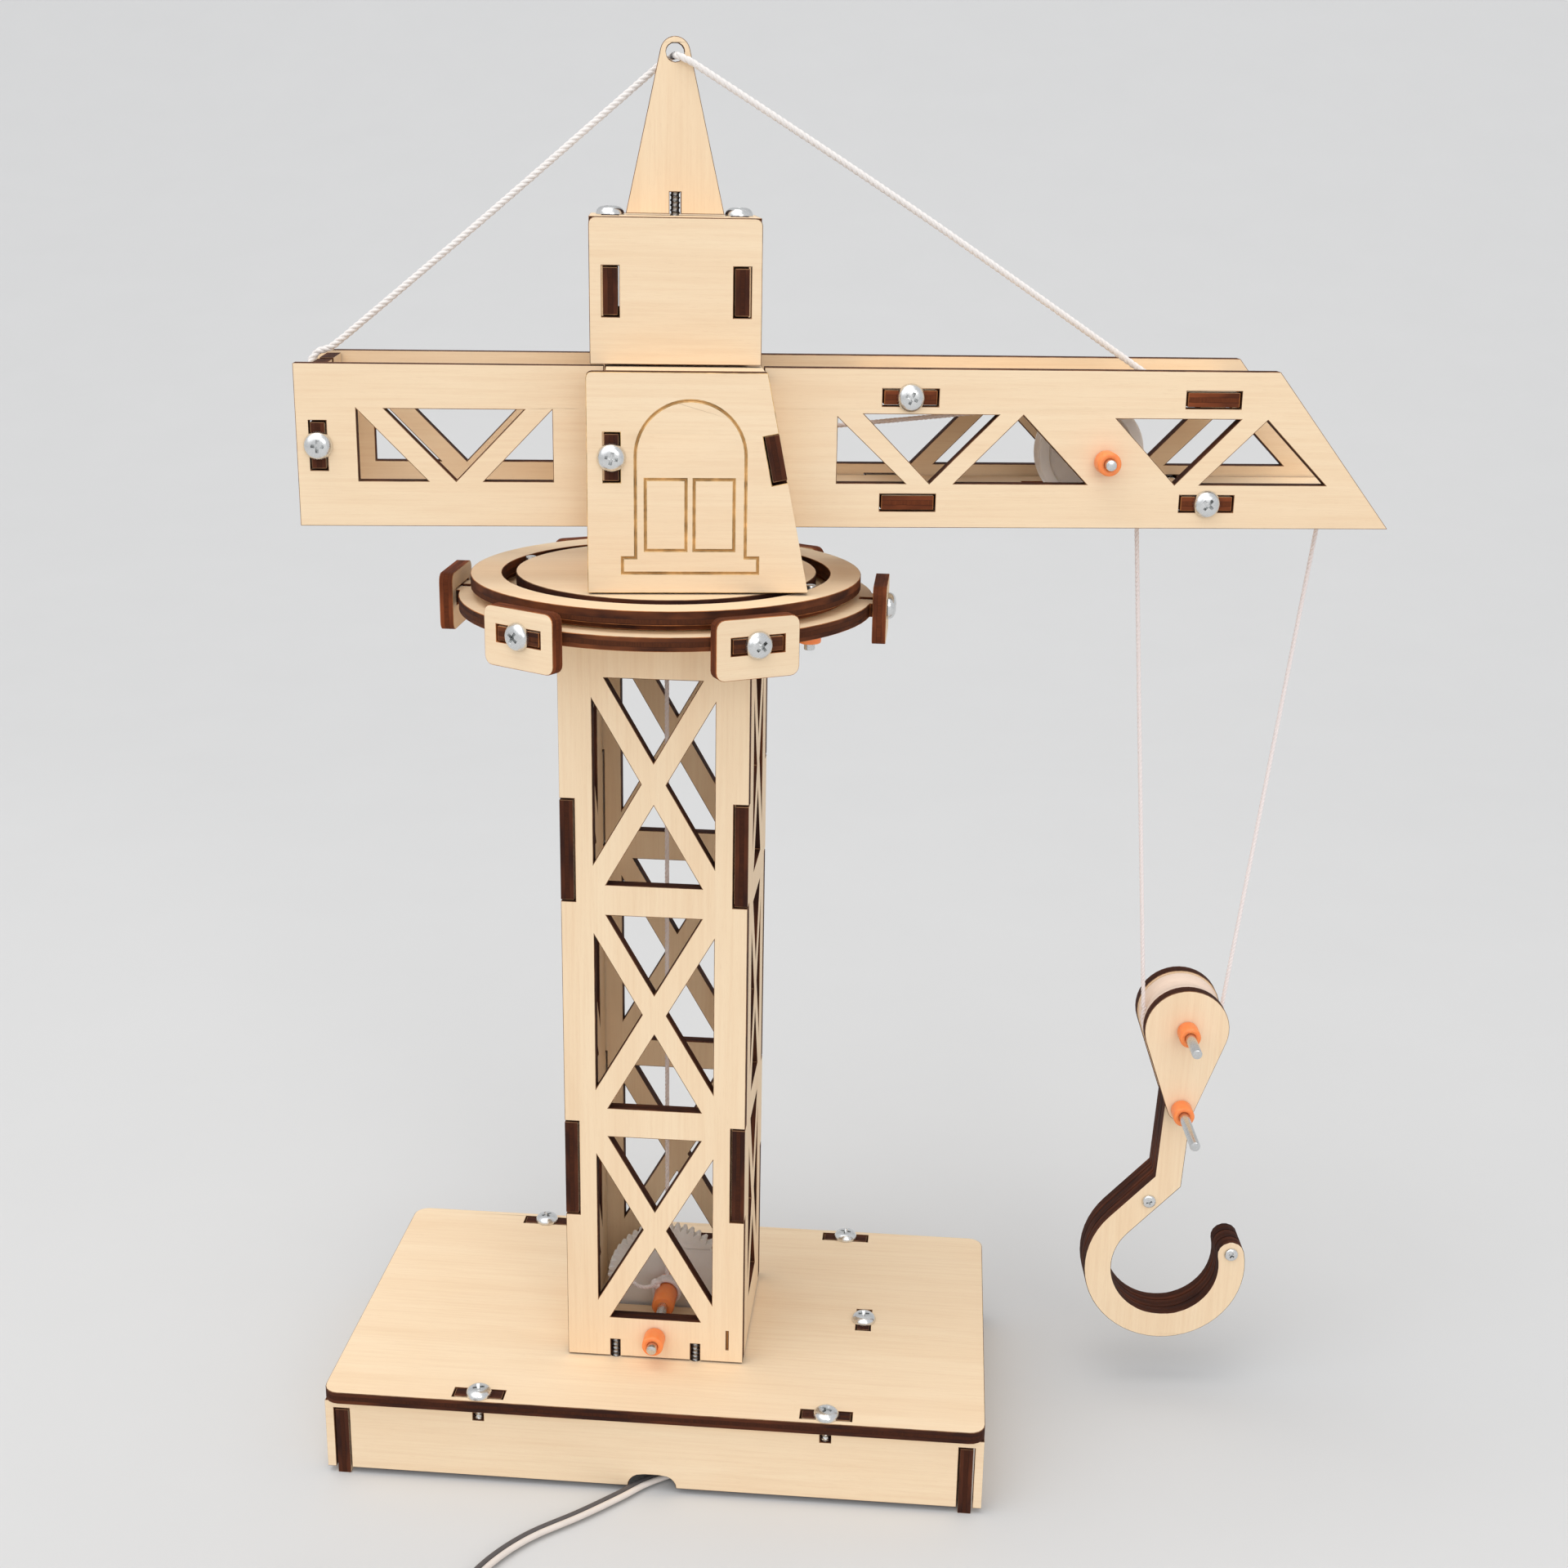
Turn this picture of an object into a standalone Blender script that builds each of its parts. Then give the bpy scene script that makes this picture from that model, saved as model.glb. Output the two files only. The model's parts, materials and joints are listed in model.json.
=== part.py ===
"""Toy tower crane, laser cut from thin plywood: a box base with a geared winch, a lattice tower, a
turntable between two rings, a cabin, a head with a mast, a lattice jib and a two-fall hook block."""

import math

import bpy
from mathutils import Vector

# Every dimension below is in millimetres; MM turns it into Blender's metres.
MM = 0.001

# Stock and joints
PLY = 2.5  # plywood thickness
GAP = 0.3  # clearance between touching pieces
SLOT = PLY + 2 * GAP  # width of a slot that takes a tab
REACH = PLY + GAP  # how far a tab stands out of its plate's edge
TAB = 9.4  # length of the usual tab
SHORT_TAB = 8.0
T_WIDTH = 2.1  # screw slot in the middle of a tab
T_DEPTH = 5.2
PIN_HOLE = 1.3  # radius of the hole for a steel axle
AXLE = 1.0  # radius of a steel axle

# Where the slewing axis stands, so that the whole crane's box is centred on the origin
TOWER_X = -32.94
SLEW_AT_REST = 9.0  # degrees, the jib's turn away from the base's long side

# Base
BASE_X = 1.5  # the base's centre, from the slewing axis
BASE_Y = 0.9
BASE_LENGTH = 128.0
BASE_WIDTH = 73.0
BASE_HEIGHT = 19.0
BASE_CORNER = 3.0
PANEL_INSET = 1.5  # the long panels' faces, from the top plate's edge
SIDE_INSET = 2.0
PANEL_FOOT = 1.3  # the long panels' lower edge above the table
BASE_SCREW = 33.7  # the top's screws, either side of the base's centre
RIB_X = 40.8
RIB_SCREW_Y = 1.4
NOTCH_X = 1.7  # where the cable comes out of the front panel
NOTCH_WIDTH = 9.4
NOTCH_HEIGHT = 2.7

# Tower
TOWER_HALF = 17.5
TOWER_TOP = 168.5
BAY_FIRST = 47.8
BAY_PITCH = 45.6
BAY_HALF_HEIGHT = 19.8
BAY_BAR = 2.3  # half of a brace's width, measured level
TOWER_TAB = 19.5
TOWER_TABS = (60.5, 125.7)
FOOT_SLOT_X = 8.0
FOOT_SLOT_WIDTH = 1.9
FOOT_SLOT_HEIGHT = 3.7

# Winch
WINCH_Z = 24.3
GEAR_Y = 4.0
GEAR_RADIUS = 13.0
GEAR_ROOT = 11.9
GEAR_TEETH = 50
GEAR_WIDTH = 2.0
DRUM_RADIUS = 2.6
WORM_RADIUS = 2.4
WORM_Z = WINCH_Z - GEAR_RADIUS - GAP - WORM_RADIUS
MOTOR_START = 19.0
MOTOR_END = 43.2

# Turntable
RING_Z = 168.8
LOWER_RADIUS = 38.3
UPPER_RADIUS = 36.0
UPPER_Z = 172.8
OPENING = 30.3
DISC_RADIUS = 27.7
DISC_Z = 173.0
CLAMP_COUNT = 6
CLAMP_WIDTH = 15.5
CLAMP_LOW = 164.2
CLAMP_HIGH = 174.8
CLAMP_CORNER = 1.6
RETAINER_RADIUS = 29.0
RETAINER_ANGLES = (-19.0, 161.0)
COLLAR = 3.8  # length of a press-fitted collar
COLLAR_RADIUS = 2.1

# Cabin, in the upperworks' own directions
CABIN_HALF = 21.75  # centres of the two side panels from the middle
CABIN_LOW = 175.8
CABIN_HIGH = 213.7
CABIN_LEFT = -14.1
CABIN_RIGHT_LOW = 24.3
CABIN_RIGHT_HIGH = 16.8
CABIN_WALL_X = -9.85
CABIN_TAB_Z = 199.3
ROOF_LEFT = -10.8
ROOF_RIGHT = 16.5

# Jib
JIB_HALF = 12.5  # centres of the two lattice plates from the middle
JIB_LOW = 185.8
JIB_HIGH = 213.8
JIB_REAR_END = -64.2
JIB_TIP_HIGH = 108.6
JIB_TIP_LOW = 130.9
INSIDE = JIB_HALF - PLY / 2 - GAP  # half of a cross plate's width
END_PLATE_X = -60.5
END_TAB_Z = 199.8
TOP_PLATE_Z = 208.8
FLOOR_Z = 190.3
CROSS_START = 28.5
CROSS_END = 125.6
CROSS_TABS = (42.6, 96.9)
PULLEY_X = 77.9
PULLEY_Z = 197.8
PULLEY_RADIUS = 9.8
PULLEY_WINDOW = 23.0  # length of the cross plates' cut-out round the pulley
GUIDE_X = 2.5
GUIDE_Z = 197.8
ANCHOR_X = 123.4
PENDANT_X = 90.9

# Head and mast
HEAD_LEFT = -13.5
HEAD_RIGHT = 16.2
HEAD_LOW = 214.1
HEAD_HIGH = 238.7
HEAD_WALLS = (-9.9, 12.8)
HEAD_TAB_Z = 226.4
MAST_X = 1.5
MAST_LOW = 239.0
MAST_HOLE_Z = 265.8
MAST_HALF = 8.65
MAST_TOP_RADIUS = 2.6
MAST_HOLE = 1.6

# Hook block and hook
BLOCK_X = 104.0
BLOCK_Z = 83.85
BLOCK_TWIST = -5.33  # degrees, as it hangs on its two falls
BLOCK_RADIUS = 8.4
BLOCK_GROOVE = 7.2
BLOCK_PLATE_Y = 5.4
HOOK_PIN_Z = 66.7
HOOK_PIN_END = 2.75
HOOK_CENTRE = (-0.22, 29.2)  # from the block's upright axis
HOOK_RADIUS = 13.9
HOOK_HALF_WIDTH = 2.77
HOOK_ELBOW = (-0.89, 48.9)
HOOK_TIP_ANGLE = 373.6
LAYER_PITCH = PLY + GAP

# Cords
PENDANT = 1.3  # diameters
HOIST_STRING = 0.9
CABLE = 2.4
COIL_X = -50.0  # from the slewing axis
COIL_Y = -92.0
COIL_INNER = 11.1
COIL_OUTER = 16.1
COIL_HEIGHT = 7.3
CABLE_ROUTE = (
    (43.9, 4.0, 7.0),
    (48.5, 3.4, 5.8),
    (51.5, -5.0, 1.8),
    (48.0, -14.5, 1.25),
    (39.0, -20.0, 1.25),
    (27.0, -23.0, 1.25),
    (11.4, -26.0, 1.25),
    (1.6, -31.5, 1.25),
    (-4.3, -37.5, 1.25),
    (-11.0, -44.0, 1.25),
    (-19.0, -51.0, 1.25),
    (-24.5, -58.5, 1.25),
    (-28.0, -67.0, 1.25),
    (-30.5, -77.0, 1.25),
    (-31.9, -87.0, 1.25),
    (-32.4, -92.0, 1.25),
)

BIRCH = (0.86, 0.68, 0.46)
STEEL = (0.72, 0.72, 0.73)
ORANGE = (0.95, 0.27, 0.05)
COTTON = (0.9, 0.88, 0.85)
PALE_PLASTIC = (0.85, 0.83, 0.78)


def material(name, colour, roughness, metallic=0.0):
    made = bpy.data.materials.new(name)
    made.use_nodes = True
    shader = made.node_tree.nodes["Principled BSDF"]
    shader.inputs["Base Color"].default_value = (*colour, 1.0)
    shader.inputs["Roughness"].default_value = roughness
    shader.inputs["Metallic"].default_value = metallic
    return made


def finish(name):
    """The finish that suits the piece called name."""
    kinds = {
        "steel": (STEEL, 0.3, 1.0),
        "orange": (ORANGE, 0.35, 0.0),
        "cotton": (COTTON, 0.9, 0.0),
        "plastic": (PALE_PLASTIC, 0.4, 0.0),
        "wood": (BIRCH, 0.65, 0.0),
    }
    return lambda kind: material(name + "_" + kind, *kinds[kind])


# Outlines


def arc(centre, radius, start, end, steps):
    """Points on an arc, from start to end in degrees, both included."""
    turns = [math.radians(start + (end - start) * i / steps) for i in range(steps + 1)]
    return [(centre[0] + radius * math.cos(t), centre[1] + radius * math.sin(t)) for t in turns]


def circle(x, y, radius, steps=20):
    return arc((x, y), radius, 0, 360 - 360 / steps, steps - 1)


def box(x, y, width, height):
    """A rectangle about its centre."""
    w, h = width / 2, height / 2
    return [(x - w, y - h), (x + w, y - h), (x + w, y + h), (x - w, y + h)]


def rounded_box(x, y, width, height, radius, steps=5):
    w, h = width / 2 - radius, height / 2 - radius
    corners = ((x + w, y + h, 0), (x - w, y + h, 90), (x - w, y - h, 180), (x + w, y - h, 270))
    return [p for cx, cy, start in corners for p in arc((cx, cy), radius, start, start + 90, steps)]


def edge(start, end, features=()):
    """The points of one edge, with its end left out. A feature is (distance along the edge to its middle,
    length, how far it stands out, whether a screw slot splits it), and one that stands out by less than 0 is
    a notch. Outlines run anticlockwise, so that outwards is to the right."""
    start, end = Vector(start), Vector(end)
    along = (end - start).normalized()
    out = Vector((along.y, -along.x))
    points = [start]
    for middle, length, reach, screwed in features:
        steps = [(middle - length / 2, 0), (middle - length / 2, reach)]
        if screwed:
            low = reach - T_DEPTH
            steps += [(middle - T_WIDTH / 2, reach), (middle - T_WIDTH / 2, low)]
            steps += [(middle + T_WIDTH / 2, low), (middle + T_WIDTH / 2, reach)]
        steps += [(middle + length / 2, reach), (middle + length / 2, 0)]
        points += [start + along * s + out * r for s, r in steps]
    return [tuple(p) for p in points]


def outline(*edges):
    """A closed outline from (start, end, features) edges."""
    return [p for one in edges for p in edge(*one)]


def cross_braces(x, z, half_width):
    """The four triangles that leave an X of braces standing in a window."""
    bar_z = BAY_BAR * BAY_HALF_HEIGHT / half_width
    w, h = half_width, BAY_HALF_HEIGHT
    found = []
    for side in (1, -1):
        wide = [(-(w - BAY_BAR), h), (w - BAY_BAR, h), (0, bar_z)]
        tall = [(w, h - bar_z), (w, -(h - bar_z)), (BAY_BAR, 0)]
        found += [[(x + side * px, z + side * pz) for px, pz in shape] for shape in (wide, tall)]
    return found


def triangle(x, base_z, tip_z, half_width):
    return [(x - half_width, base_z), (x + half_width, base_z), (x, tip_z)]


# Solids


def place(name, data, location, rotation, parent, kind):
    thing = bpy.data.objects.new(name, data)
    thing.location = [c * MM for c in location]
    thing.rotation_euler = [math.radians(a) for a in rotation]
    thing.parent = parent
    data.materials.append(finish(name)(kind))
    bpy.context.scene.collection.objects.link(thing)
    return thing


def plate(name, shapes, location, rotation=(0, 0, 0), parent=None, thickness=PLY, kind="wood"):
    """A flat plate: the first shape is its outline, and the others are holes."""
    curve = bpy.data.curves.new(name, "CURVE")
    curve.dimensions = "2D"
    curve.fill_mode = "BOTH"
    curve.extrude = thickness / 2 * MM
    for shape in shapes:
        spline = curve.splines.new("POLY")
        spline.points.add(len(shape) - 1)
        for point, (x, y) in zip(spline.points, shape):
            point.co = (x * MM, y * MM, 0, 1)
        spline.use_cyclic_u = True
    return place(name, curve, location, rotation, parent, kind)


UPRIGHT_X = (90, 0, 0)  # a plate drawn in X and Z
UPRIGHT_Y = (90, 0, 90)  # a plate drawn in Y and Z


def turned(name, profile, location, rotation, parent, kind, steps=20):
    """A turned piece. The profile is a list of (radius, distance along local Z); it starts and ends on the
    axis, or else it is the closed section of a ring."""
    hollow = profile[0][0] > 0
    points, rings = [], []
    for radius, z in profile:
        count = steps if radius > 0 else 1
        turns = [2 * math.pi * i / steps for i in range(count)]
        rings.append([len(points) + i for i in range(count)])
        points += [(radius * math.cos(t) * MM, radius * math.sin(t) * MM, z * MM) for t in turns]
    pairs = list(zip(rings, rings[1:]))
    if hollow:
        pairs.append((rings[-1], rings[0]))
    faces = []
    for low, high in pairs:
        for i in range(steps):
            corners = [low[i % len(low)], low[(i + 1) % len(low)]]
            corners += [high[(i + 1) % len(high)], high[i % len(high)]]
            faces.append(list(dict.fromkeys(corners)))
    mesh = bpy.data.meshes.new(name)
    mesh.from_pydata(points, [], faces)
    mesh.shade_smooth()
    mesh.set_sharp_from_angle(angle=math.radians(35))
    return place(name, mesh, location, rotation, parent, kind)


def smooth_route(knots, spacing):
    """Points about spacing apart on a Catmull-Rom curve through the knots."""
    knots = [Vector(k) for k in knots]
    padded = [2 * knots[0] - knots[1], *knots, 2 * knots[-1] - knots[-2]]
    points = []
    for a, b, c, d in zip(padded, padded[1:], padded[2:], padded[3:]):
        steps = max(1, round((c - b).length / spacing))
        for i in range(steps):
            t = i / steps
            pull = (c - a) * t + (2 * a - 5 * b + 4 * c - d) * t**2 + (3 * b - a - 3 * c + d) * t**3
            points.append(b + pull / 2)
    return points + [knots[-1]]


def cord(name, points, diameter, parent=None, kind="cotton"):
    curve = bpy.data.curves.new(name, "CURVE")
    curve.dimensions = "3D"
    curve.bevel_depth = diameter / 2 * MM
    curve.bevel_resolution = 2
    curve.use_fill_caps = True
    spline = curve.splines.new("POLY")
    spline.points.add(len(points) - 1)
    for point, place_at in zip(spline.points, points):
        point.co = (*(c * MM for c in place_at), 1)
    return place(name, curve, (0, 0, 0), (0, 0, 0), parent, kind)


def empty(name, location, rotation=(0, 0, 0), parent=None):
    made = bpy.data.objects.new(name, None)
    made.location = [c * MM for c in location]
    made.rotation_euler = [math.radians(a) for a in rotation]
    made.parent = parent
    bpy.context.scene.collection.objects.link(made)
    return made


# Sub-assemblies


def cable_arch():
    """The cable's way out: the flat-topped arch in the front panel's lower edge, from left to right."""
    half, top = NOTCH_WIDTH / 2 - NOTCH_HEIGHT, PANEL_FOOT
    left = arc((NOTCH_X - half, top), NOTCH_HEIGHT, 180, 90, 5)
    right = arc((NOTCH_X + half, top), NOTCH_HEIGHT, 90, 0, 5)
    return left + right


def make_base(tower):
    front = BASE_Y - BASE_WIDTH / 2 + PANEL_INSET + PLY / 2
    rear = BASE_Y + BASE_WIDTH / 2 - PANEL_INSET - PLY / 2
    left = BASE_X - BASE_LENGTH / 2
    right = BASE_X + BASE_LENGTH / 2
    side_left = left + SIDE_INSET + PLY / 2
    side_right = right - SIDE_INSET - PLY / 2
    screws = (BASE_X - BASE_SCREW, BASE_X + BASE_SCREW)
    under = BASE_HEIGHT - PLY - GAP  # top of the panels
    join = under - 1.6 - GAP  # the side panels reach through the long ones below this

    slots = [box(x, y, TAB + 2 * GAP, SLOT) for x in screws for y in (front, rear)]
    slots.append(box(RIB_X, RIB_SCREW_Y, SLOT, SHORT_TAB))
    slots.append(box(0, GEAR_Y, 25.4, GEAR_WIDTH + 1.6))
    foot = TOWER_HALF - PLY / 2
    slots += [circle(x, y, 1.15, 12) for x in (-FOOT_SLOT_X, FOOT_SLOT_X) for y in (-foot, foot)]
    top = rounded_box(BASE_X, BASE_Y, BASE_LENGTH, BASE_WIDTH, BASE_CORNER)
    plate("base_top_plate", [top, *slots], (0, 0, BASE_HEIGHT - PLY / 2), parent=tower)

    slit = (SIDE_INSET + PLY / 2, SLOT, -(join + GAP - PANEL_FOOT), False)  # takes a side panel
    tabs = [(right - x, TAB, REACH, True) for x in reversed(screws)]
    for name, y, notched in (("base_front_panel", front, True), ("base_rear_panel", rear, False)):
        shape = edge((left, PANEL_FOOT), (right, PANEL_FOOT), [slit])
        shape += cable_arch() if notched else []
        shape += edge((right - 2 * slit[0], PANEL_FOOT), (right, PANEL_FOOT), [slit])
        shape += outline(
            ((right, PANEL_FOOT), (right, under)),
            ((right, under), (left, under), tabs),
            ((left, under), (left, PANEL_FOOT)),
        )
        plate(name, [shape], (0, y, 0), UPRIGHT_X, tower)

    outer_front, outer_rear = front - PLY / 2, rear + PLY / 2
    inner_front, inner_rear = front + PLY / 2 + GAP, rear - PLY / 2 - GAP
    side = [(outer_front, 0), (outer_rear, 0), (outer_rear, join), (inner_rear, join)]
    side += [(inner_rear, under), (inner_front, under), (inner_front, join), (outer_front, join)]
    for name, x in (("base_left_panel", side_left), ("base_right_panel", side_right)):
        plate(name, [side], (x, 0, 0), UPRIGHT_Y, tower)

    motor_hole = (GEAR_Y - inner_front, 12.6, -(WORM_Z + 5.3 - PANEL_FOOT), False)
    cable_hole = (-19.5 - inner_front, 6.0, -3.0, False)
    rib_tab = (inner_rear - RIB_SCREW_Y, SHORT_TAB - 2 * GAP, REACH, False)
    rib = outline(
        ((inner_front, PANEL_FOOT), (inner_rear, PANEL_FOOT), [cable_hole, motor_hole]),
        ((inner_rear, PANEL_FOOT), (inner_rear, under)),
        ((inner_rear, under), (inner_front, under), [rib_tab]),
        ((inner_front, under), (inner_front, PANEL_FOOT)),
    )
    plate("base_cross_rib", [rib], (RIB_X, 0, 0), UPRIGHT_Y, tower)


def make_tower(tower):
    low = BASE_HEIGHT + GAP
    half, inner = TOWER_HALF, TOWER_HALF - REACH
    bays = [BAY_FIRST + BAY_PITCH * i for i in range(3)]
    up = [(z - low, TOWER_TAB + 2 * GAP, -REACH, False) for z in TOWER_TABS]
    down = [(TOWER_TOP - z, TOWER_TAB + 2 * GAP, -REACH, False) for z in reversed(TOWER_TABS)]
    feet = [(half + x, FOOT_SLOT_WIDTH, -FOOT_SLOT_HEIGHT, False) for x in (-FOOT_SLOT_X, FOOT_SLOT_X)]
    wide = outline(
        ((-half, low), (half, low), feet),
        ((half, low), (half, TOWER_TOP), up),
        ((half, TOWER_TOP), (-half, TOWER_TOP)),
        ((-half, TOWER_TOP), (-half, low), down),
    )
    wide_holes = [hole for z in bays for hole in cross_braces(0, z, 11.3)]
    wide_holes.append(circle(0, WINCH_Z, PIN_HOLE, 12))
    for name, side in (("tower_front_panel", -1), ("tower_rear_panel", 1)):
        plate(name, [wide, *wide_holes], (0, side * (half - PLY / 2), 0), UPRIGHT_X, tower)

    tabs_up = [(z - low, TOWER_TAB, REACH, False) for z in TOWER_TABS]
    tabs_down = [(TOWER_TOP - z, TOWER_TAB, REACH, False) for z in reversed(TOWER_TABS)]
    narrow = outline(
        ((-inner, low), (inner, low)),
        ((inner, low), (inner, TOWER_TOP), tabs_up),
        ((inner, TOWER_TOP), (-inner, TOWER_TOP)),
        ((-inner, TOWER_TOP), (-inner, low), tabs_down),
    )
    narrow_holes = [hole for z in bays for hole in cross_braces(0, z, 9.0)]
    for name, side in (("tower_left_panel", -1), ("tower_right_panel", 1)):
        plate(name, [narrow, *narrow_holes], (side * (half - PLY / 2), 0, 0), UPRIGHT_Y, tower)


def make_rings(tower):
    spots = [360 / CLAMP_COUNT * i for i in range(CLAMP_COUNT)]
    tip = LOWER_RADIUS + REACH
    half_turn = math.degrees(math.asin(TAB / 2 / LOWER_RADIUS))
    rim = []
    for i, spot in enumerate(spots):
        turn = math.radians(spot)
        out = Vector((math.cos(turn), math.sin(turn)))
        side = Vector((-out.y, out.x))
        steps = [(tip, -TAB / 2), (tip, -T_WIDTH / 2), (tip - T_DEPTH, -T_WIDTH / 2)]
        steps += [(r, -s) for r, s in reversed(steps)]
        rim += [tuple(out * r + side * s) for r, s in steps]
        rim += arc((0, 0), LOWER_RADIUS, spot + half_turn, spot + 60 - half_turn, 10)
    pins = [arc((0, 0), RETAINER_RADIUS, a, a, 1)[0] for a in RETAINER_ANGLES]
    pin_holes = [circle(x, y, PIN_HOLE, 12) for x, y in pins]
    lower = [rim, circle(0, 0, 5.6, 24), *pin_holes]
    plate("ring_lower_plate", lower, (0, 0, RING_Z + PLY / 2), parent=tower)
    low, high, spacer = UPPER_Z, UPPER_Z + PLY, RING_Z + SLOT - GAP
    profile = [(OPENING, low), (31.5, low), (31.5, spacer), (34.0, spacer), (34.0, low)]
    profile += [(UPPER_RADIUS, low), (UPPER_RADIUS, high), (OPENING, high)]
    turned("ring_upper_plate", profile, (0, 0, 0), (0, 0, 0), tower, "wood", 80)

    middle = (CLAMP_LOW + CLAMP_HIGH) / 2
    ring_middle = RING_Z + PLY / 2
    clamp = [rounded_box(0, middle, CLAMP_WIDTH, CLAMP_HIGH - CLAMP_LOW, CLAMP_CORNER, 4)]
    clamp.append(box(0, ring_middle, TAB + 2 * GAP, SLOT))
    radius = LOWER_RADIUS + GAP + PLY / 2
    for i, spot in enumerate(spots):
        turn = math.radians(spot)
        where = (radius * math.cos(turn), radius * math.sin(turn), 0)
        plate(f"ring_clamp_{i + 1}", clamp, where, (90, 0, spot + 90), tower)

    under = RING_Z - GAP
    profile = [(0, 163.4), (AXLE, 163.4), (AXLE, under - COLLAR), (COLLAR_RADIUS, under - COLLAR)]
    profile += [(COLLAR_RADIUS, under), (AXLE, under), (AXLE, 175.4), (0, 175.4)]
    for i, (x, y) in enumerate(pins):
        turned(f"ring_pin_{i + 1}", profile, (x, y, 0), (0, 0, 0), tower, "steel", 14)


def axle_profile(out, rear_end, front_end, middle=()):
    """A steel axle with a collar pressed on outside each wall, out from its middle, and its ends beyond."""
    collar = out + COLLAR
    profile = [(0, -out - rear_end), (AXLE, -out - rear_end), (AXLE, -collar), (COLLAR_RADIUS, -collar)]
    profile += [(COLLAR_RADIUS, -out), (AXLE, -out)]
    if middle:
        profile += [(AXLE, middle[0][1]), *middle, (AXLE, middle[-1][1])]
    profile += [(AXLE, out), (COLLAR_RADIUS, out), (COLLAR_RADIUS, collar), (AXLE, collar)]
    return profile + [(AXLE, out + front_end), (0, out + front_end)]


def make_winch(tower):
    shaft = empty("winch_axis", (0, 0, WINCH_Z), (90, 0, 0), tower)
    out = TOWER_HALF + GAP
    drum = [(DRUM_RADIUS, -2.0), (DRUM_RADIUS, 6.0), (4.2, 6.0), (4.2, 7.2)]
    profile = axle_profile(out, 5.2, 5.2, drum)
    turned("winch_axle", profile, (0, 0, 0), (0, 0, 0), shaft, "steel", 16)
    rim = []
    for i in range(GEAR_TEETH):
        for radius, share in ((GEAR_ROOT, 0.0), (GEAR_RADIUS, 0.35), (GEAR_RADIUS, 0.65)):
            turn = 2 * math.pi * (i + share) / GEAR_TEETH
            rim.append((radius * math.cos(turn), radius * math.sin(turn)))
    gear = [rim, circle(0, 0, PIN_HOLE, 16)]
    plate("winch_gear", gear, (0, 0, -GEAR_Y), (0, 0, 0), shaft, GEAR_WIDTH, "plastic")

    worm_axis = empty("worm_axis", (0, GEAR_Y, WORM_Z), (0, 90, 0), tower)
    profile = [(0, -8.0), (WORM_RADIUS, -7.6), (WORM_RADIUS, 7.6), (0.75, 7.6), (0.75, MOTOR_START - GAP)]
    profile.append((0, MOTOR_START - GAP))
    turned("worm", profile, (0, 0, 0), (0, 0, 0), worm_axis, "steel", 14)
    flat = 56.4  # the motor's round body is cut flat above and below
    body = arc((0, 0), 6.0, -flat, flat, 8) + arc((0, 0), 6.0, 180 - flat, 180 + flat, 8)
    middle = (MOTOR_START + MOTOR_END) / 2
    length = MOTOR_END - MOTOR_START
    plate("motor", [body], (middle, GEAR_Y, WORM_Z), UPRIGHT_Y, tower, length, "steel")


def make_turntable(upper):
    wall_slot = box(CABIN_WALL_X, 0, SLOT, TAB + 2 * GAP)
    disc = [circle(0, 0, DISC_RADIUS, 72), circle(0, 0, 3.6, 24), wall_slot]
    plate("turntable_disc", disc, (0, 0, DISC_Z + PLY / 2), parent=upper)
    bore, neck = 2.2, 5.3
    profile = [(bore, 166.2), (neck, 166.2), (6.3, 167.8), (6.3, 168.5), (neck, 168.5), (neck, 171.6)]
    profile += [(9.0, 171.6), (9.0, 172.7), (3.3, 172.7), (3.3, 176.6), (bore, 176.6)]
    turned("turntable_hub", profile, (0, 0, 0), (0, 0, 0), upper, "plastic", 24)


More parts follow.
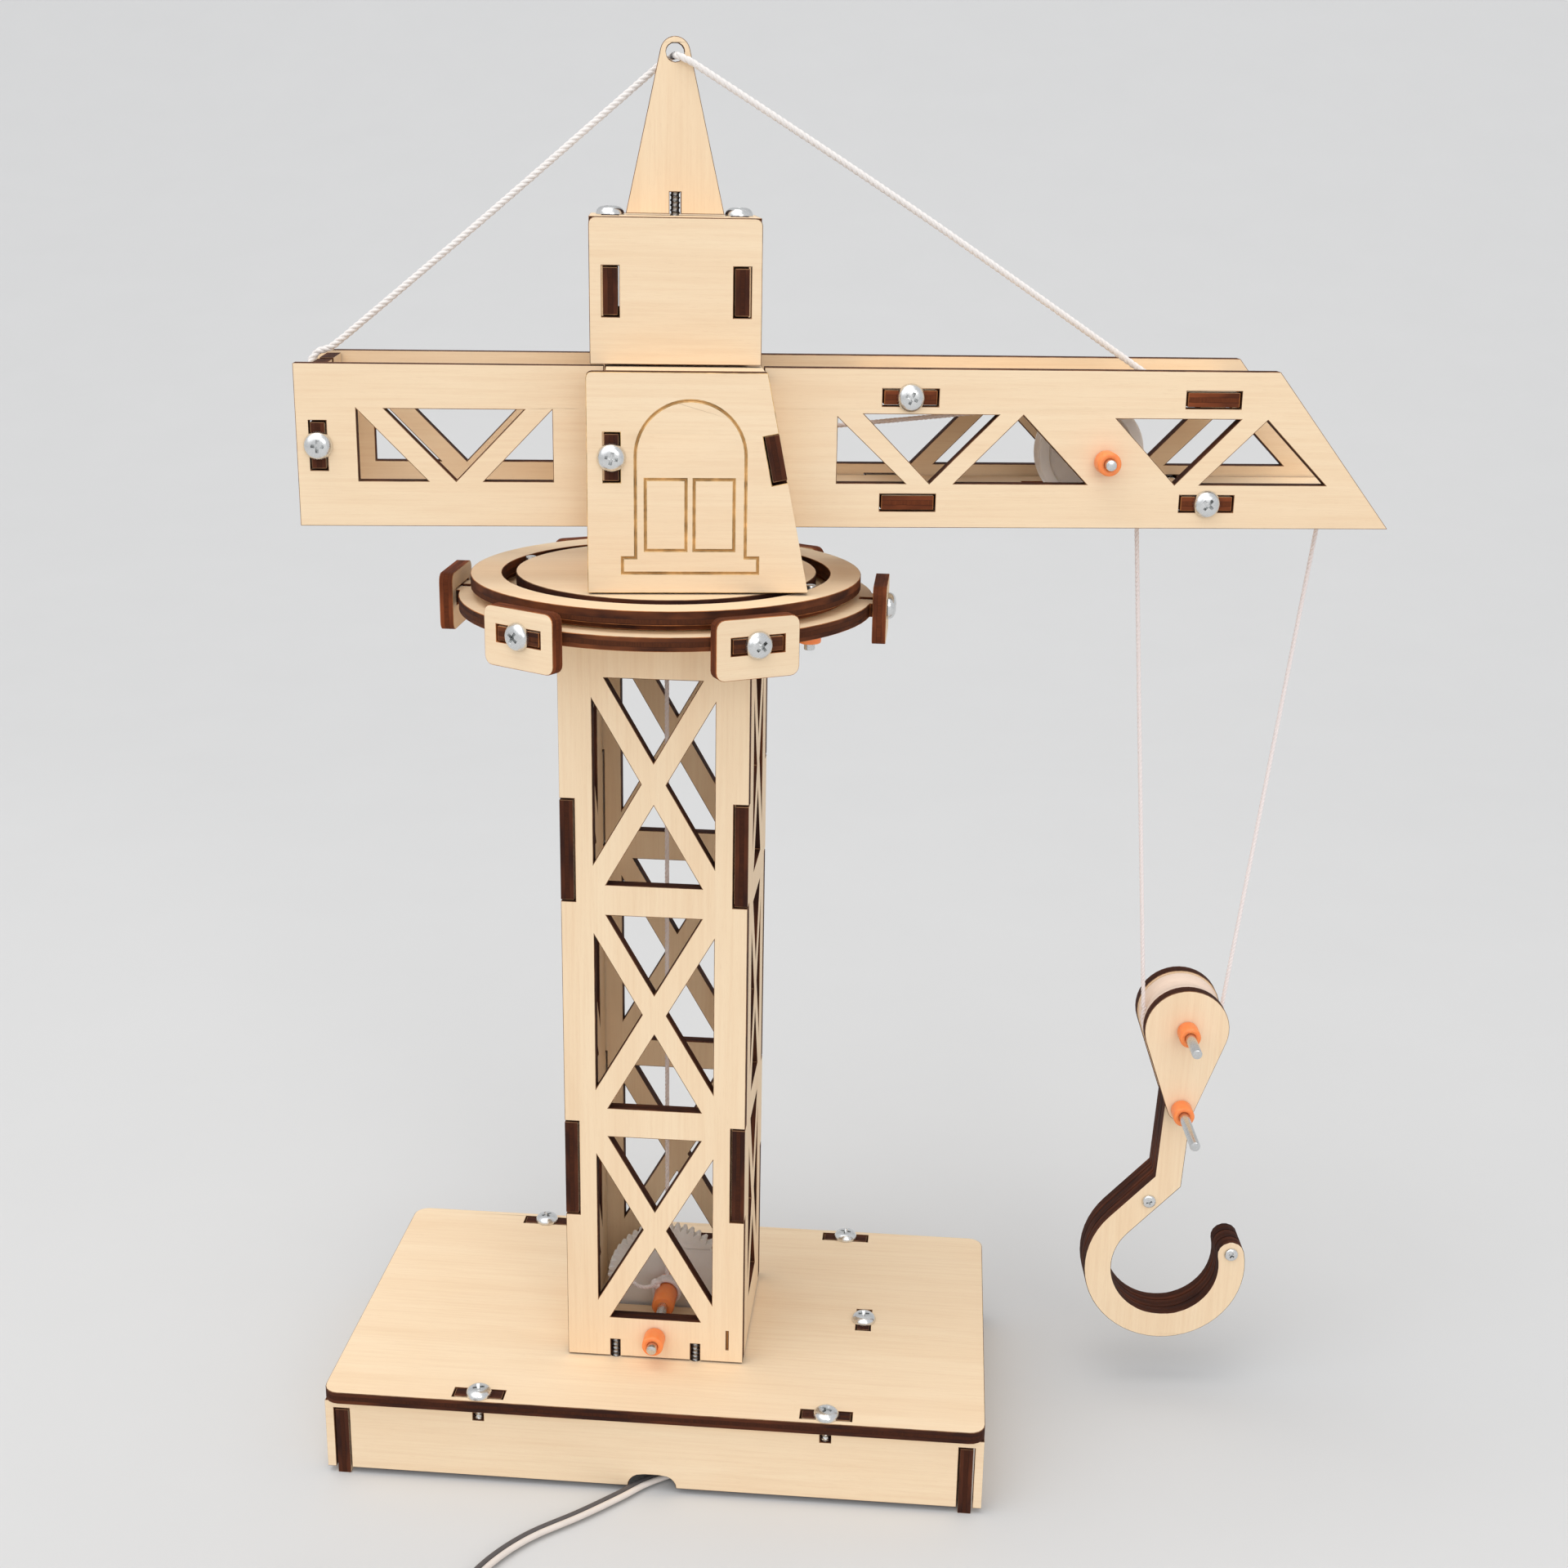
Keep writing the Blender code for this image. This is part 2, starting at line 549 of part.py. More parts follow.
def make_cabin(upper):
    slant = Vector((CABIN_RIGHT_HIGH - CABIN_RIGHT_LOW, CABIN_HIGH - CABIN_LOW))
    lean = math.degrees(math.atan2(-slant.x, slant.y))
    rise = math.cos(math.radians(lean))
    tab_along = (CABIN_TAB_Z - CABIN_LOW) / rise
    side = outline(
        ((CABIN_LEFT, CABIN_LOW), (CABIN_RIGHT_LOW, CABIN_LOW)),
        (
            (CABIN_RIGHT_LOW, CABIN_LOW),
            (CABIN_RIGHT_HIGH, CABIN_HIGH),
            [(tab_along, SHORT_TAB + 2 * GAP, -REACH, False)],
        ),
    )
    side += [(CABIN_RIGHT_HIGH, CABIN_HIGH)]
    side += arc((CABIN_LEFT + 1, CABIN_HIGH - 1), 1, 90, 180, 4)
    slot = box(CABIN_WALL_X, CABIN_TAB_Z, SLOT, SHORT_TAB + 2 * GAP)
    for name, y in (("cabin_front_panel", -CABIN_HALF), ("cabin_rear_panel", CABIN_HALF)):
        plate(name, [side, slot], (0, y, 0), UPRIGHT_X, upper)

    inner = CABIN_HALF - PLY / 2 - GAP
    roof_low = CABIN_HIGH - PLY
    wall_top = roof_low - GAP
    up = [(CABIN_TAB_Z - CABIN_LOW, SHORT_TAB, REACH, True)]
    down = [(wall_top - CABIN_TAB_Z, SHORT_TAB, REACH, True)]
    cuts = [(inner + y, SLOT, -(wall_top - JIB_LOW + GAP), False) for y in (-JIB_HALF, JIB_HALF)]
    wall = outline(
        ((-inner, CABIN_LOW), (inner, CABIN_LOW), [(inner, TAB, REACH, False)]),
        ((inner, CABIN_LOW), (inner, wall_top), up),
        ((inner, wall_top), (-inner, wall_top), cuts),
        ((-inner, wall_top), (-inner, CABIN_LOW), down),
    )
    plate("cabin_left_wall", [wall], (CABIN_WALL_X, 0, 0), UPRIGHT_Y, upper)

    # The front wall leans with the panels' sloping edge; it is drawn along that slope from its lower end.
    length = (wall_top - CABIN_LOW) / rise
    depth = length - (JIB_LOW - CABIN_LOW) / rise + 2 * GAP
    string_hole = circle(0, (GUIDE_Z + 2.5 - CABIN_LOW) / rise, 1.6, 12)
    cuts = [(inner + y, SLOT, -depth, False) for y in (-JIB_HALF, JIB_HALF)]
    wall = outline(
        ((-inner, GAP), (inner, GAP)),
        ((inner, GAP), (inner, length), [(tab_along - GAP, SHORT_TAB, REACH, False)]),
        ((inner, length), (-inner, length), cuts),
        ((-inner, length), (-inner, GAP), [(length - tab_along, SHORT_TAB, REACH, False)]),
    )
    inset = PLY / 2 / rise
    foot = (CABIN_RIGHT_LOW - inset, 0, CABIN_LOW)
    slope = plate("cabin_right_wall", [wall, string_hole], foot, UPRIGHT_Y, upper)
    slope.rotation_mode = "XZY"
    slope.rotation_euler = (math.radians(90), math.radians(-lean), math.radians(90))

    roof = [box((ROOF_LEFT + ROOF_RIGHT) / 2, 0, ROOF_RIGHT - ROOF_LEFT, 2 * inner)]
    plate("cabin_roof", roof, (0, 0, CABIN_HIGH - PLY / 2), parent=upper)


def make_jib(upper):
    notch_middle = JIB_TIP_HIGH - (ROOF_LEFT + ROOF_RIGHT) / 2
    notch = (notch_middle, ROOF_RIGHT - ROOF_LEFT + 2 * GAP, -(PLY + 2 * GAP), False)
    side = outline(
        ((JIB_REAR_END, JIB_LOW), (JIB_TIP_LOW, JIB_LOW)),
        ((JIB_TIP_LOW, JIB_LOW), (JIB_TIP_HIGH, JIB_HIGH)),
        ((JIB_TIP_HIGH, JIB_HIGH), (JIB_REAR_END, JIB_HIGH), [notch]),
        ((JIB_REAR_END, JIB_HIGH), (JIB_REAR_END, JIB_LOW)),
    )
    low, high = 193.7, 206.2  # the windows' lower and upper edges
    left, right, middle = -53.8, -20.1, -37.0
    bar = 4.8  # a brace's width, measured level
    holes = [
        [(left, low), (middle - bar, low), (left, high)],
        [(left + bar, high), (middle, low), (right - bar, high)],
        [(right, high), (middle + bar, low), (right, low)],
        [(29.8, 205.3), (29.8, low), (42.1, low)],
        triangle(46.4, 205.9, low, 12.0),
        triangle(62.8, low, 205.9, 12.0),
        triangle(90.8, 205.4, low, 11.3),
        triangle(107.0, low, 205.3, 11.6),
        box(END_PLATE_X, END_TAB_Z, SLOT, SHORT_TAB + 2 * GAP),
        circle(PULLEY_X, PULLEY_Z, PIN_HOLE, 12),
        circle(GUIDE_X, GUIDE_Z, PIN_HOLE, 12),
    ]
    holes += [box(x, z, TAB + 2 * GAP, SLOT) for x in CROSS_TABS for z in (TOP_PLATE_Z, FLOOR_Z)]
    for name, y in (("jib_front_plate", -JIB_HALF), ("jib_rear_plate", JIB_HALF)):
        plate(name, [side, *holes], (0, y, 0), UPRIGHT_X, upper)

    low, high = JIB_LOW + 0.4, JIB_HIGH - 0.4
    end = outline(
        ((-INSIDE, low), (INSIDE, low)),
        ((INSIDE, low), (INSIDE, high), [(END_TAB_Z - low, SHORT_TAB, REACH, True)]),
        ((INSIDE, high), (-INSIDE, high), [(INSIDE, 2.0, -1.5, False)]),
        ((-INSIDE, high), (-INSIDE, low), [(high - END_TAB_Z, SHORT_TAB, REACH, True)]),
    )
    plate("jib_end_plate", [end], (END_PLATE_X, 0, 0), UPRIGHT_Y, upper)

    def cross_plate(name, start, finish_x, z, cord_hole, screwed):
        tabs = [(x - start, TAB, REACH, s) for x, s in zip(CROSS_TABS, screwed)]
        back = [(finish_x - x, TAB, REACH, s) for x, s in zip(reversed(CROSS_TABS), reversed(screwed))]
        shape = outline(
            ((start, -INSIDE), (finish_x, -INSIDE), tabs),
            ((finish_x, -INSIDE), (finish_x, INSIDE)),
            ((finish_x, INSIDE), (start, INSIDE), back),
            ((start, INSIDE), (start, -INSIDE)),
        )
        plate(name, [shape, box(PULLEY_X, 0, PULLEY_WINDOW, 8.6), cord_hole], (0, 0, z), parent=upper)

    pendant_hole = circle(PENDANT_X, 0, 1.05, 12)
    cross_plate("jib_top_plate", 36.0, 104.5, TOP_PLATE_Z, pendant_hole, (True, False))
    anchor_hole = circle(ANCHOR_X, 0, 0.9, 12)
    cross_plate("jib_floor_plate", CROSS_START, CROSS_END, FLOOR_Z, anchor_hole, (False, True))

    pulley_axis = empty("jib_pulley_axis", (PULLEY_X, 0, PULLEY_Z), (90, 0, 0), upper)
    rim, groove = PULLEY_RADIUS, PULLEY_RADIUS - 1.4
    profile = [(PIN_HOLE, -2.6), (rim, -2.6), (rim, -1.7), (groove, -0.6), (groove, 0.6), (rim, 1.7)]
    profile += [(rim, 2.6), (PIN_HOLE, 2.6)]
    turned("jib_pulley", profile, (0, 0, 0), (0, 0, 0), pulley_axis, "plastic", 40)
    out = JIB_HALF + PLY / 2 + GAP
    for name, x, z in (("jib_pulley_axle", PULLEY_X, PULLEY_Z), ("guide_axle", GUIDE_X, GUIDE_Z)):
        turned(name, axle_profile(out, 5.0, 5.0), (x, 0, z), (90, 0, 0), upper, "steel", 16)


def make_head(upper):
    side = [(HEAD_LEFT, HEAD_LOW), (HEAD_RIGHT, HEAD_LOW)]
    side += arc((HEAD_RIGHT - 1.2, HEAD_HIGH - 1.2), 1.2, 0, 90, 4)
    side += arc((HEAD_LEFT + 1.2, HEAD_HIGH - 1.2), 1.2, 90, 180, 4)
    slots = [box(x, HEAD_TAB_Z, SLOT, SHORT_TAB + 2 * GAP) for x in HEAD_WALLS]
    for name, y in (("head_front_plate", -JIB_HALF), ("head_rear_plate", JIB_HALF)):
        plate(name, [side, *slots], (0, y, 0), UPRIGHT_X, upper)

    top = HEAD_HIGH - PLY - GAP
    wall = outline(
        ((-INSIDE, HEAD_LOW), (INSIDE, HEAD_LOW)),
        ((INSIDE, HEAD_LOW), (INSIDE, top), [(HEAD_TAB_Z - HEAD_LOW, SHORT_TAB, REACH, False)]),
        ((INSIDE, top), (-INSIDE, top), [(INSIDE, TAB, REACH, True)]),
        ((-INSIDE, top), (-INSIDE, HEAD_LOW), [(top - HEAD_TAB_Z, SHORT_TAB, REACH, False)]),
    )
    for name, x in zip(("head_left_wall", "head_right_wall"), HEAD_WALLS):
        plate(name, [wall], (x, 0, 0), UPRIGHT_Y, upper)
    lid = [box((HEAD_LEFT + HEAD_RIGHT) / 2, 0, HEAD_RIGHT - HEAD_LEFT, 2 * INSIDE)]
    lid += [box(x, 0, SLOT, TAB + 2 * GAP) for x in HEAD_WALLS]
    lid.append(circle(MAST_X, 0, 1.15, 12))
    plate("head_top_plate", lid, (0, 0, HEAD_HIGH - PLY / 2), parent=upper)

    lean = math.degrees(math.atan2(MAST_HALF - MAST_TOP_RADIUS, MAST_HOLE_Z - MAST_LOW))
    mast = edge((-MAST_HALF, MAST_LOW), (MAST_HALF, MAST_LOW), [(MAST_HALF, 2.0, -FOOT_SLOT_HEIGHT, False)])
    mast.append((MAST_HALF, MAST_LOW))
    mast += arc((0, MAST_HOLE_Z), MAST_TOP_RADIUS, lean, 180 - lean, 12)
    plate("mast_plate", [mast, circle(0, MAST_HOLE_Z, MAST_HOLE, 16)], (MAST_X, 0, 0), UPRIGHT_X, upper)


def make_hook_block(block):
    drop = BLOCK_Z - HOOK_PIN_Z
    turn = math.degrees(math.asin((BLOCK_RADIUS - HOOK_PIN_END) / drop))
    side = arc((0, 0), BLOCK_RADIUS, -turn, 180 + turn, 26)
    side += arc((0, -drop), HOOK_PIN_END, 180 + turn, 360 - turn, 10)
    shapes = [side, circle(0, 0, PIN_HOLE, 12), circle(0, -drop, PIN_HOLE, 12)]
    for name, y in (("block_front_plate", -BLOCK_PLATE_Y), ("block_rear_plate", BLOCK_PLATE_Y)):
        plate(name, shapes, (0, y, BLOCK_Z), UPRIGHT_X, block)

    pulley_axis = empty("block_pulley_axis", (0, 0, BLOCK_Z), (90, 0, 0), block)
    rim, groove, half = BLOCK_GROOVE + 0.9, BLOCK_GROOVE, 3.85
    profile = [(PIN_HOLE, -half), (rim, -half), (rim, -2.4), (groove, -1.4), (groove, 1.4), (rim, 2.4)]
    profile += [(rim, half), (PIN_HOLE, half)]
    turned("block_pulley", profile, (0, 0, 0), (0, 0, 0), pulley_axis, "wood", 40)
    out = BLOCK_PLATE_Y + PLY / 2 + GAP
    for name, z, tail in (("block_axle", BLOCK_Z, 11.4), ("hook_pin", HOOK_PIN_Z, 16.5)):
        turned(name, axle_profile(out, 5.0, tail), (0, 0, z), (90, 0, 0), block, "steel", 16)


def hook_outline():
    """The hook's outline, an even ribbon about its middle line, from the pin round to the tip."""
    pin = Vector((0, HOOK_PIN_Z))
    elbow, centre = Vector(HOOK_ELBOW), Vector(HOOK_CENTRE)
    to_elbow = elbow - centre
    tangent = math.degrees(math.atan2(to_elbow.y, to_elbow.x))
    tangent += math.degrees(math.acos(HOOK_RADIUS / to_elbow.length))
    bend = [Vector(p) for p in arc(centre, HOOK_RADIUS, tangent, HOOK_TIP_ANGLE, 36)]
    line = [pin, elbow, *bend]
    left, right = [], []
    for i, point in enumerate(line):
        before = (point - line[i - 1]).normalized() if i else None
        after = (line[i + 1] - point).normalized() if i + 1 < len(line) else None
        along = ((before or after) + (after or before)).normalized()
        width = HOOK_HALF_WIDTH / max(0.5, along.dot(after or before))
        side = Vector((-along.y, along.x)) * width
        left.append(point + side)
        right.append(point - side)
    tip_end = arc(line[-1], HOOK_HALF_WIDTH, HOOK_TIP_ANGLE, HOOK_TIP_ANGLE + 180, 8)[1:-1]
    down = math.degrees(math.atan2(elbow.y - pin.y, elbow.x - pin.x))
    pin_end = arc(pin, HOOK_HALF_WIDTH, down + 90, down + 270, 10)[1:-1]
    return [tuple(p) for p in right] + tip_end + [tuple(p) for p in reversed(left)] + pin_end


def make_hook(block):
    hinge = empty("hook_axis", (0, 0, HOOK_PIN_Z), parent=block)
    shape = [(x, z - HOOK_PIN_Z) for x, z in hook_outline()]
    for name, y in (("hook_front_layer", -1), ("hook_middle_layer", 0), ("hook_rear_layer", 1)):
        shapes = [shape, circle(0, 0, PIN_HOLE, 12)]
        plate(name, shapes, (0, y * LAYER_PITCH, 0), UPRIGHT_X, hinge)


def make_strings(upper):
    jib_top = TOP_PLATE_Z + PLY / 2
    behind = PLY / 2 + PENDANT / 2 + GAP
    knots = [
        (PENDANT_X, 0, jib_top - PLY - 1.6),
        (PENDANT_X, 0, jib_top),
        (PENDANT_X - 3.6, -0.6, jib_top + 2.2),
        (45.0, -1.4, 239.5),
        (MAST_X + 2.6, -behind - 0.3, MAST_HOLE_Z - 1.5),
        (MAST_X + 0.5, -behind, MAST_HOLE_Z - 0.6),
        (MAST_X, 0, MAST_HOLE_Z - 0.5),
        (MAST_X - 0.5, behind, MAST_HOLE_Z - 0.6),
        (MAST_X - 2.6, behind + 0.3, MAST_HOLE_Z - 2.0),
        (-30.0, 1.2, 239.4),
        (END_PLATE_X + 3.6, 0.3, 217.3),
        (END_PLATE_X + 1.0, 0, 215.3),
        (END_PLATE_X - 1.3, 0, 214.6),
        (END_PLATE_X - 2.6, 0, 213.0),
        (END_PLATE_X - 2.7, 0, 209.5),
    ]
    cord("pendant_cord", smooth_route(knots, 9.0), PENDANT, upper)

    over = AXLE + HOIST_STRING / 2 + GAP
    around = PULLEY_RADIUS - 1.4 + HOIST_STRING / 2 + GAP
    rise = PULLEY_Z + around - GUIDE_Z - over
    climb = math.degrees(math.atan2(rise, PULLEY_X - GUIDE_X))
    bend = arc((GUIDE_X, GUIDE_Z), over, 180, 90 + climb, 5)
    wheel = arc((PULLEY_X, PULLEY_Z), around, 90 + climb, 2, 9)
    start = GUIDE_X - over
    drum_top = WINCH_Z + DRUM_RADIUS + HOIST_STRING / 2 + GAP
    points = [(0, 0, drum_top), (0, 0, 60), (0, 0, 120), (0, 0, 180), (start / 2, 0, 192)]
    points += [(x, 0, z) for x, z in bend + wheel]
    cord("hoist_string", points, HOIST_STRING, upper)

    block_side = BLOCK_GROOVE + HOIST_STRING / 2 + GAP
    twist = math.radians(BLOCK_TWIST)
    falls = (
        ("hoist_fall_inner", PULLEY_X + around, PULLEY_Z - 0.8, -block_side),
        ("hoist_fall_outer", ANCHOR_X, FLOOR_Z + PLY / 2 + 1.2, block_side),
    )
    for name, top_x, top_z, side in falls:
        top = Vector((top_x, 0, top_z))
        low = Vector((BLOCK_X + side * math.cos(twist), side * math.sin(twist), BLOCK_Z + 2.0))
        cord(name, [top.lerp(low, i / 4) for i in range(5)], HOIST_STRING, upper)


def make_cable(tower):
    cord("cable", smooth_route(CABLE_ROUTE, 5.5), CABLE, tower, "plastic")
    profile = [(COIL_INNER, 0), (COIL_OUTER, 0), (COIL_OUTER, COIL_HEIGHT), (COIL_INNER, COIL_HEIGHT)]
    turned("cable_coil", profile, (COIL_X, COIL_Y, 0), (0, 0, 0), tower, "plastic", 40)
    plug = rounded_box(0, 0, 8.0, 6.0, 0.6, 2)
    where = (COIL_X - COIL_OUTER - GAP - 3.0, COIL_Y - 2.0, 2.2)
    plate("cable_plug", [plug], where, (0, 0, 90), tower, 4.4, "plastic")


def main():
    for thing in list(bpy.data.objects):
        bpy.data.objects.remove(thing)
    tower = empty("slewing_axis", (TOWER_X, 0, 0))
    upper = empty("upperworks_axis", (0, 0, 0), (0, 0, SLEW_AT_REST), tower)
    make_base(tower)
    make_tower(tower)
    make_rings(tower)
    make_winch(tower)
    make_turntable(upper)
    make_cabin(upper)
    make_jib(upper)
    make_head(upper)
    block = empty("block_axis", (BLOCK_X, 0, 0), (0, 0, BLOCK_TWIST), upper)
    make_hook_block(block)
    make_hook(block)
    make_strings(upper)
    make_cable(tower)


main()
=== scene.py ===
"""Looks of the toy tower crane: plywood with laser-charred edges, screws, collars, strings and the cable."""

import json
import math

import bmesh
import bpy
import numpy as np
from mathutils import Matrix, Vector


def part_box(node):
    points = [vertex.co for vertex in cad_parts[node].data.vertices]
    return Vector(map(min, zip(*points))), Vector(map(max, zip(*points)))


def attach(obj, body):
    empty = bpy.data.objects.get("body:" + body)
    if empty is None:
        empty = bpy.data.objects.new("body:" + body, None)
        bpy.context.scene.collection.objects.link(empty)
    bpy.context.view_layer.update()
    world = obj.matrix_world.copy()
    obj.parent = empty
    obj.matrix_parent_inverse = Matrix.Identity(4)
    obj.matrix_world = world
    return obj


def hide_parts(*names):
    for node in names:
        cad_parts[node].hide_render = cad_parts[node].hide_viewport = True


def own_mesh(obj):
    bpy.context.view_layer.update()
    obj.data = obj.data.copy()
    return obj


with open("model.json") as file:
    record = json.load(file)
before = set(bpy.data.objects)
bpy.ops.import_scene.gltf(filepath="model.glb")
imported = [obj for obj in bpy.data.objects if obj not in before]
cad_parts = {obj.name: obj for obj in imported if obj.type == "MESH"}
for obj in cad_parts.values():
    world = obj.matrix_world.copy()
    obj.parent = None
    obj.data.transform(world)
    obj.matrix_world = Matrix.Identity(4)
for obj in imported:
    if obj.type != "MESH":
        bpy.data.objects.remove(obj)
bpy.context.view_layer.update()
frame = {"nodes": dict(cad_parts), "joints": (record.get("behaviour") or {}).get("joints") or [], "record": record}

# Lengths below are in millimetres, in the tower's frame or, for what slews, in the upperworks' frame.
MM = 0.001
RIGHT, BACK, UP = Vector((1, 0, 0)), Vector((0, 1, 0)), Vector((0, 0, 1))
joints = {joint["name"]: joint for joint in frame["joints"]}
AXIS = Vector(joints["slew"]["pos_m"])
AXIS.z = 0
SIDE = Vector(joints["jib_pulley_turn"]["axis"]).normalized()
AHEAD = SIDE.cross(UP)
BLOCK = Vector(joints["hook_swing"]["pos_m"])
BLOCK.z = 0
BLOCK_SIDE = Vector(joints["hook_swing"]["axis"]).normalized()
BLOCK_AHEAD = BLOCK_SIDE.cross(UP)

PLY = 2.5
BEVEL = 0.11
AXLE = 1.0
BORE = 1.05
COLLAR = 3.8
COLLAR_RADIUS = 2.1
STRING = 0.9
STRING_LAY = 2.6
PENDANT = 1.3
PENDANT_LAY = 3.4
CABLE = 2.4
CABLE_REST = 1.25
WELD = 0.01
WHEEL_X, WHEEL_Z, WHEEL_RIM, WHEEL_GROOVE = 77.9, 197.8, 9.8, 8.4
GUIDE_X, GUIDE_Z = 2.5, 197.8
BLOCK_Z, BLOCK_RIM, BLOCK_GROOVE = 83.85, 8.1, 7.2
HOOK_PIN_Z = 66.7
WINCH_Z = 24.3
ANCHOR_X = 123.4
PENDANT_X = 90.9
MAST_X = 1.5
END_PLATE_X = -60.5
HEAD_UNDER, HEAD_TOP = 235.9, 238.7
FOOT_TOP = 16.2
HOOK_FACE = 4.05
RING_PIN_RADIUS = 29.0
JIB_FACE = 13.75
CABIN_FACE = 23.0
CLAMP_FACE, CLAMP_Z = 41.1, 170.05
CAMERA_AIM = (22.47, 0, 134.8)
CAMERA_DISTANCE = 386.1
CAMERA_LENS = 46.55


def tower(x, y, z):
    return AXIS + Vector((x, y, z)) * MM


def upper(x, y, z):
    return AXIS + (AHEAD * x + SIDE * y + UP * z) * MM


def block(x, y, z):
    return BLOCK + (BLOCK_AHEAD * x + BLOCK_SIDE * y + UP * z) * MM


# Camera, floor and light


def make_camera():
    turn, dip, roll = math.radians(4.51), math.radians(17.05), math.radians(0.97)
    back = Vector((math.sin(turn) * math.cos(dip), -math.cos(turn) * math.cos(dip), math.sin(dip)))
    right = Vector((math.cos(turn), math.sin(turn), 0))
    top = back.cross(right)
    tilted_right = right * math.cos(roll) + top * math.sin(roll)
    tilted_top = top * math.cos(roll) - right * math.sin(roll)
    data = bpy.data.cameras.new("camera")
    data.sensor_width = 36.0
    data.lens = CAMERA_LENS
    data.clip_start = 0.01
    camera = bpy.data.objects.new("camera", data)
    target = tower(*CAMERA_AIM)
    turned = Matrix((tilted_right, tilted_top, back)).transposed().to_4x4()
    camera.matrix_world = Matrix.Translation(target + back * CAMERA_DISTANCE * MM) @ turned
    bpy.context.scene.collection.objects.link(camera)
    bpy.context.scene.camera = camera


def area_light(name, place, target, size, power, colour=(1, 1, 1)):
    data = bpy.data.lights.new(name, "AREA")
    data.shape = "DISK"
    data.size = size
    data.energy = power
    data.color = colour
    light = bpy.data.objects.new(name, data)
    light.location = place
    light.rotation_euler = (Vector(place) - Vector(target)).to_track_quat("Z", "Y").to_euler()
    bpy.context.scene.collection.objects.link(light)


def sun(name, way, strength, spread):
    """Even light from the direction way, as soft as a sky panel spread degrees wide."""
    data = bpy.data.lights.new(name, "SUN")
    data.energy = strength
    data.angle = math.radians(spread)
    light = bpy.data.objects.new(name, data)
    light.rotation_euler = Vector(way).to_track_quat("Z", "Y").to_euler()
    bpy.context.scene.collection.objects.link(light)


def make_studio():
    scene = bpy.context.scene
    scene.view_settings.view_transform = "Standard"
    world = bpy.data.worlds.new("studio")
    world.use_nodes = True
    shader = world.node_tree.nodes["Background"]
    shader.inputs["Color"].default_value = (0.97, 0.98, 1.0, 1)
    shader.inputs["Strength"].default_value = 0.74
    scene.world = world
    middle = (0, 0, 0.12)
    sun("high_key", (-0.35, -0.75, 1.0), 0.98, 80)
    area_light("overhead", (-0.25, -0.15, 1.3), middle, 0.9, 4.0, (1.0, 0.98, 0.95))
    area_light("front_fill", (0.5, -1.2, 0.6), middle, 0.6, 2.5, (1.0, 0.98, 0.96))
    mesh = bpy.data.meshes.new("floor")
    reach, bend, radius, rise = 4.0, 0.45, 2.2, 3.5
    turns = np.linspace(0, math.pi / 2, 33)
    rows = [(-reach, 0.0)] + [(bend + math.sin(t) * radius, (1 - math.cos(t)) * radius) for t in turns]
    rows.append((bend + radius, rise))
    points = [(x, y, z) for y, z in rows for x in (-reach, reach)]
    faces = [(2 * i, 2 * i + 1, 2 * i + 3, 2 * i + 2) for i in range(len(rows) - 1)]
    mesh.from_pydata(points, [], faces)
    mesh.shade_smooth()
    floor = bpy.data.objects.new("floor", mesh)
    floor.data.materials.append(studio_paper())
    scene.collection.objects.link(floor)


# Materials


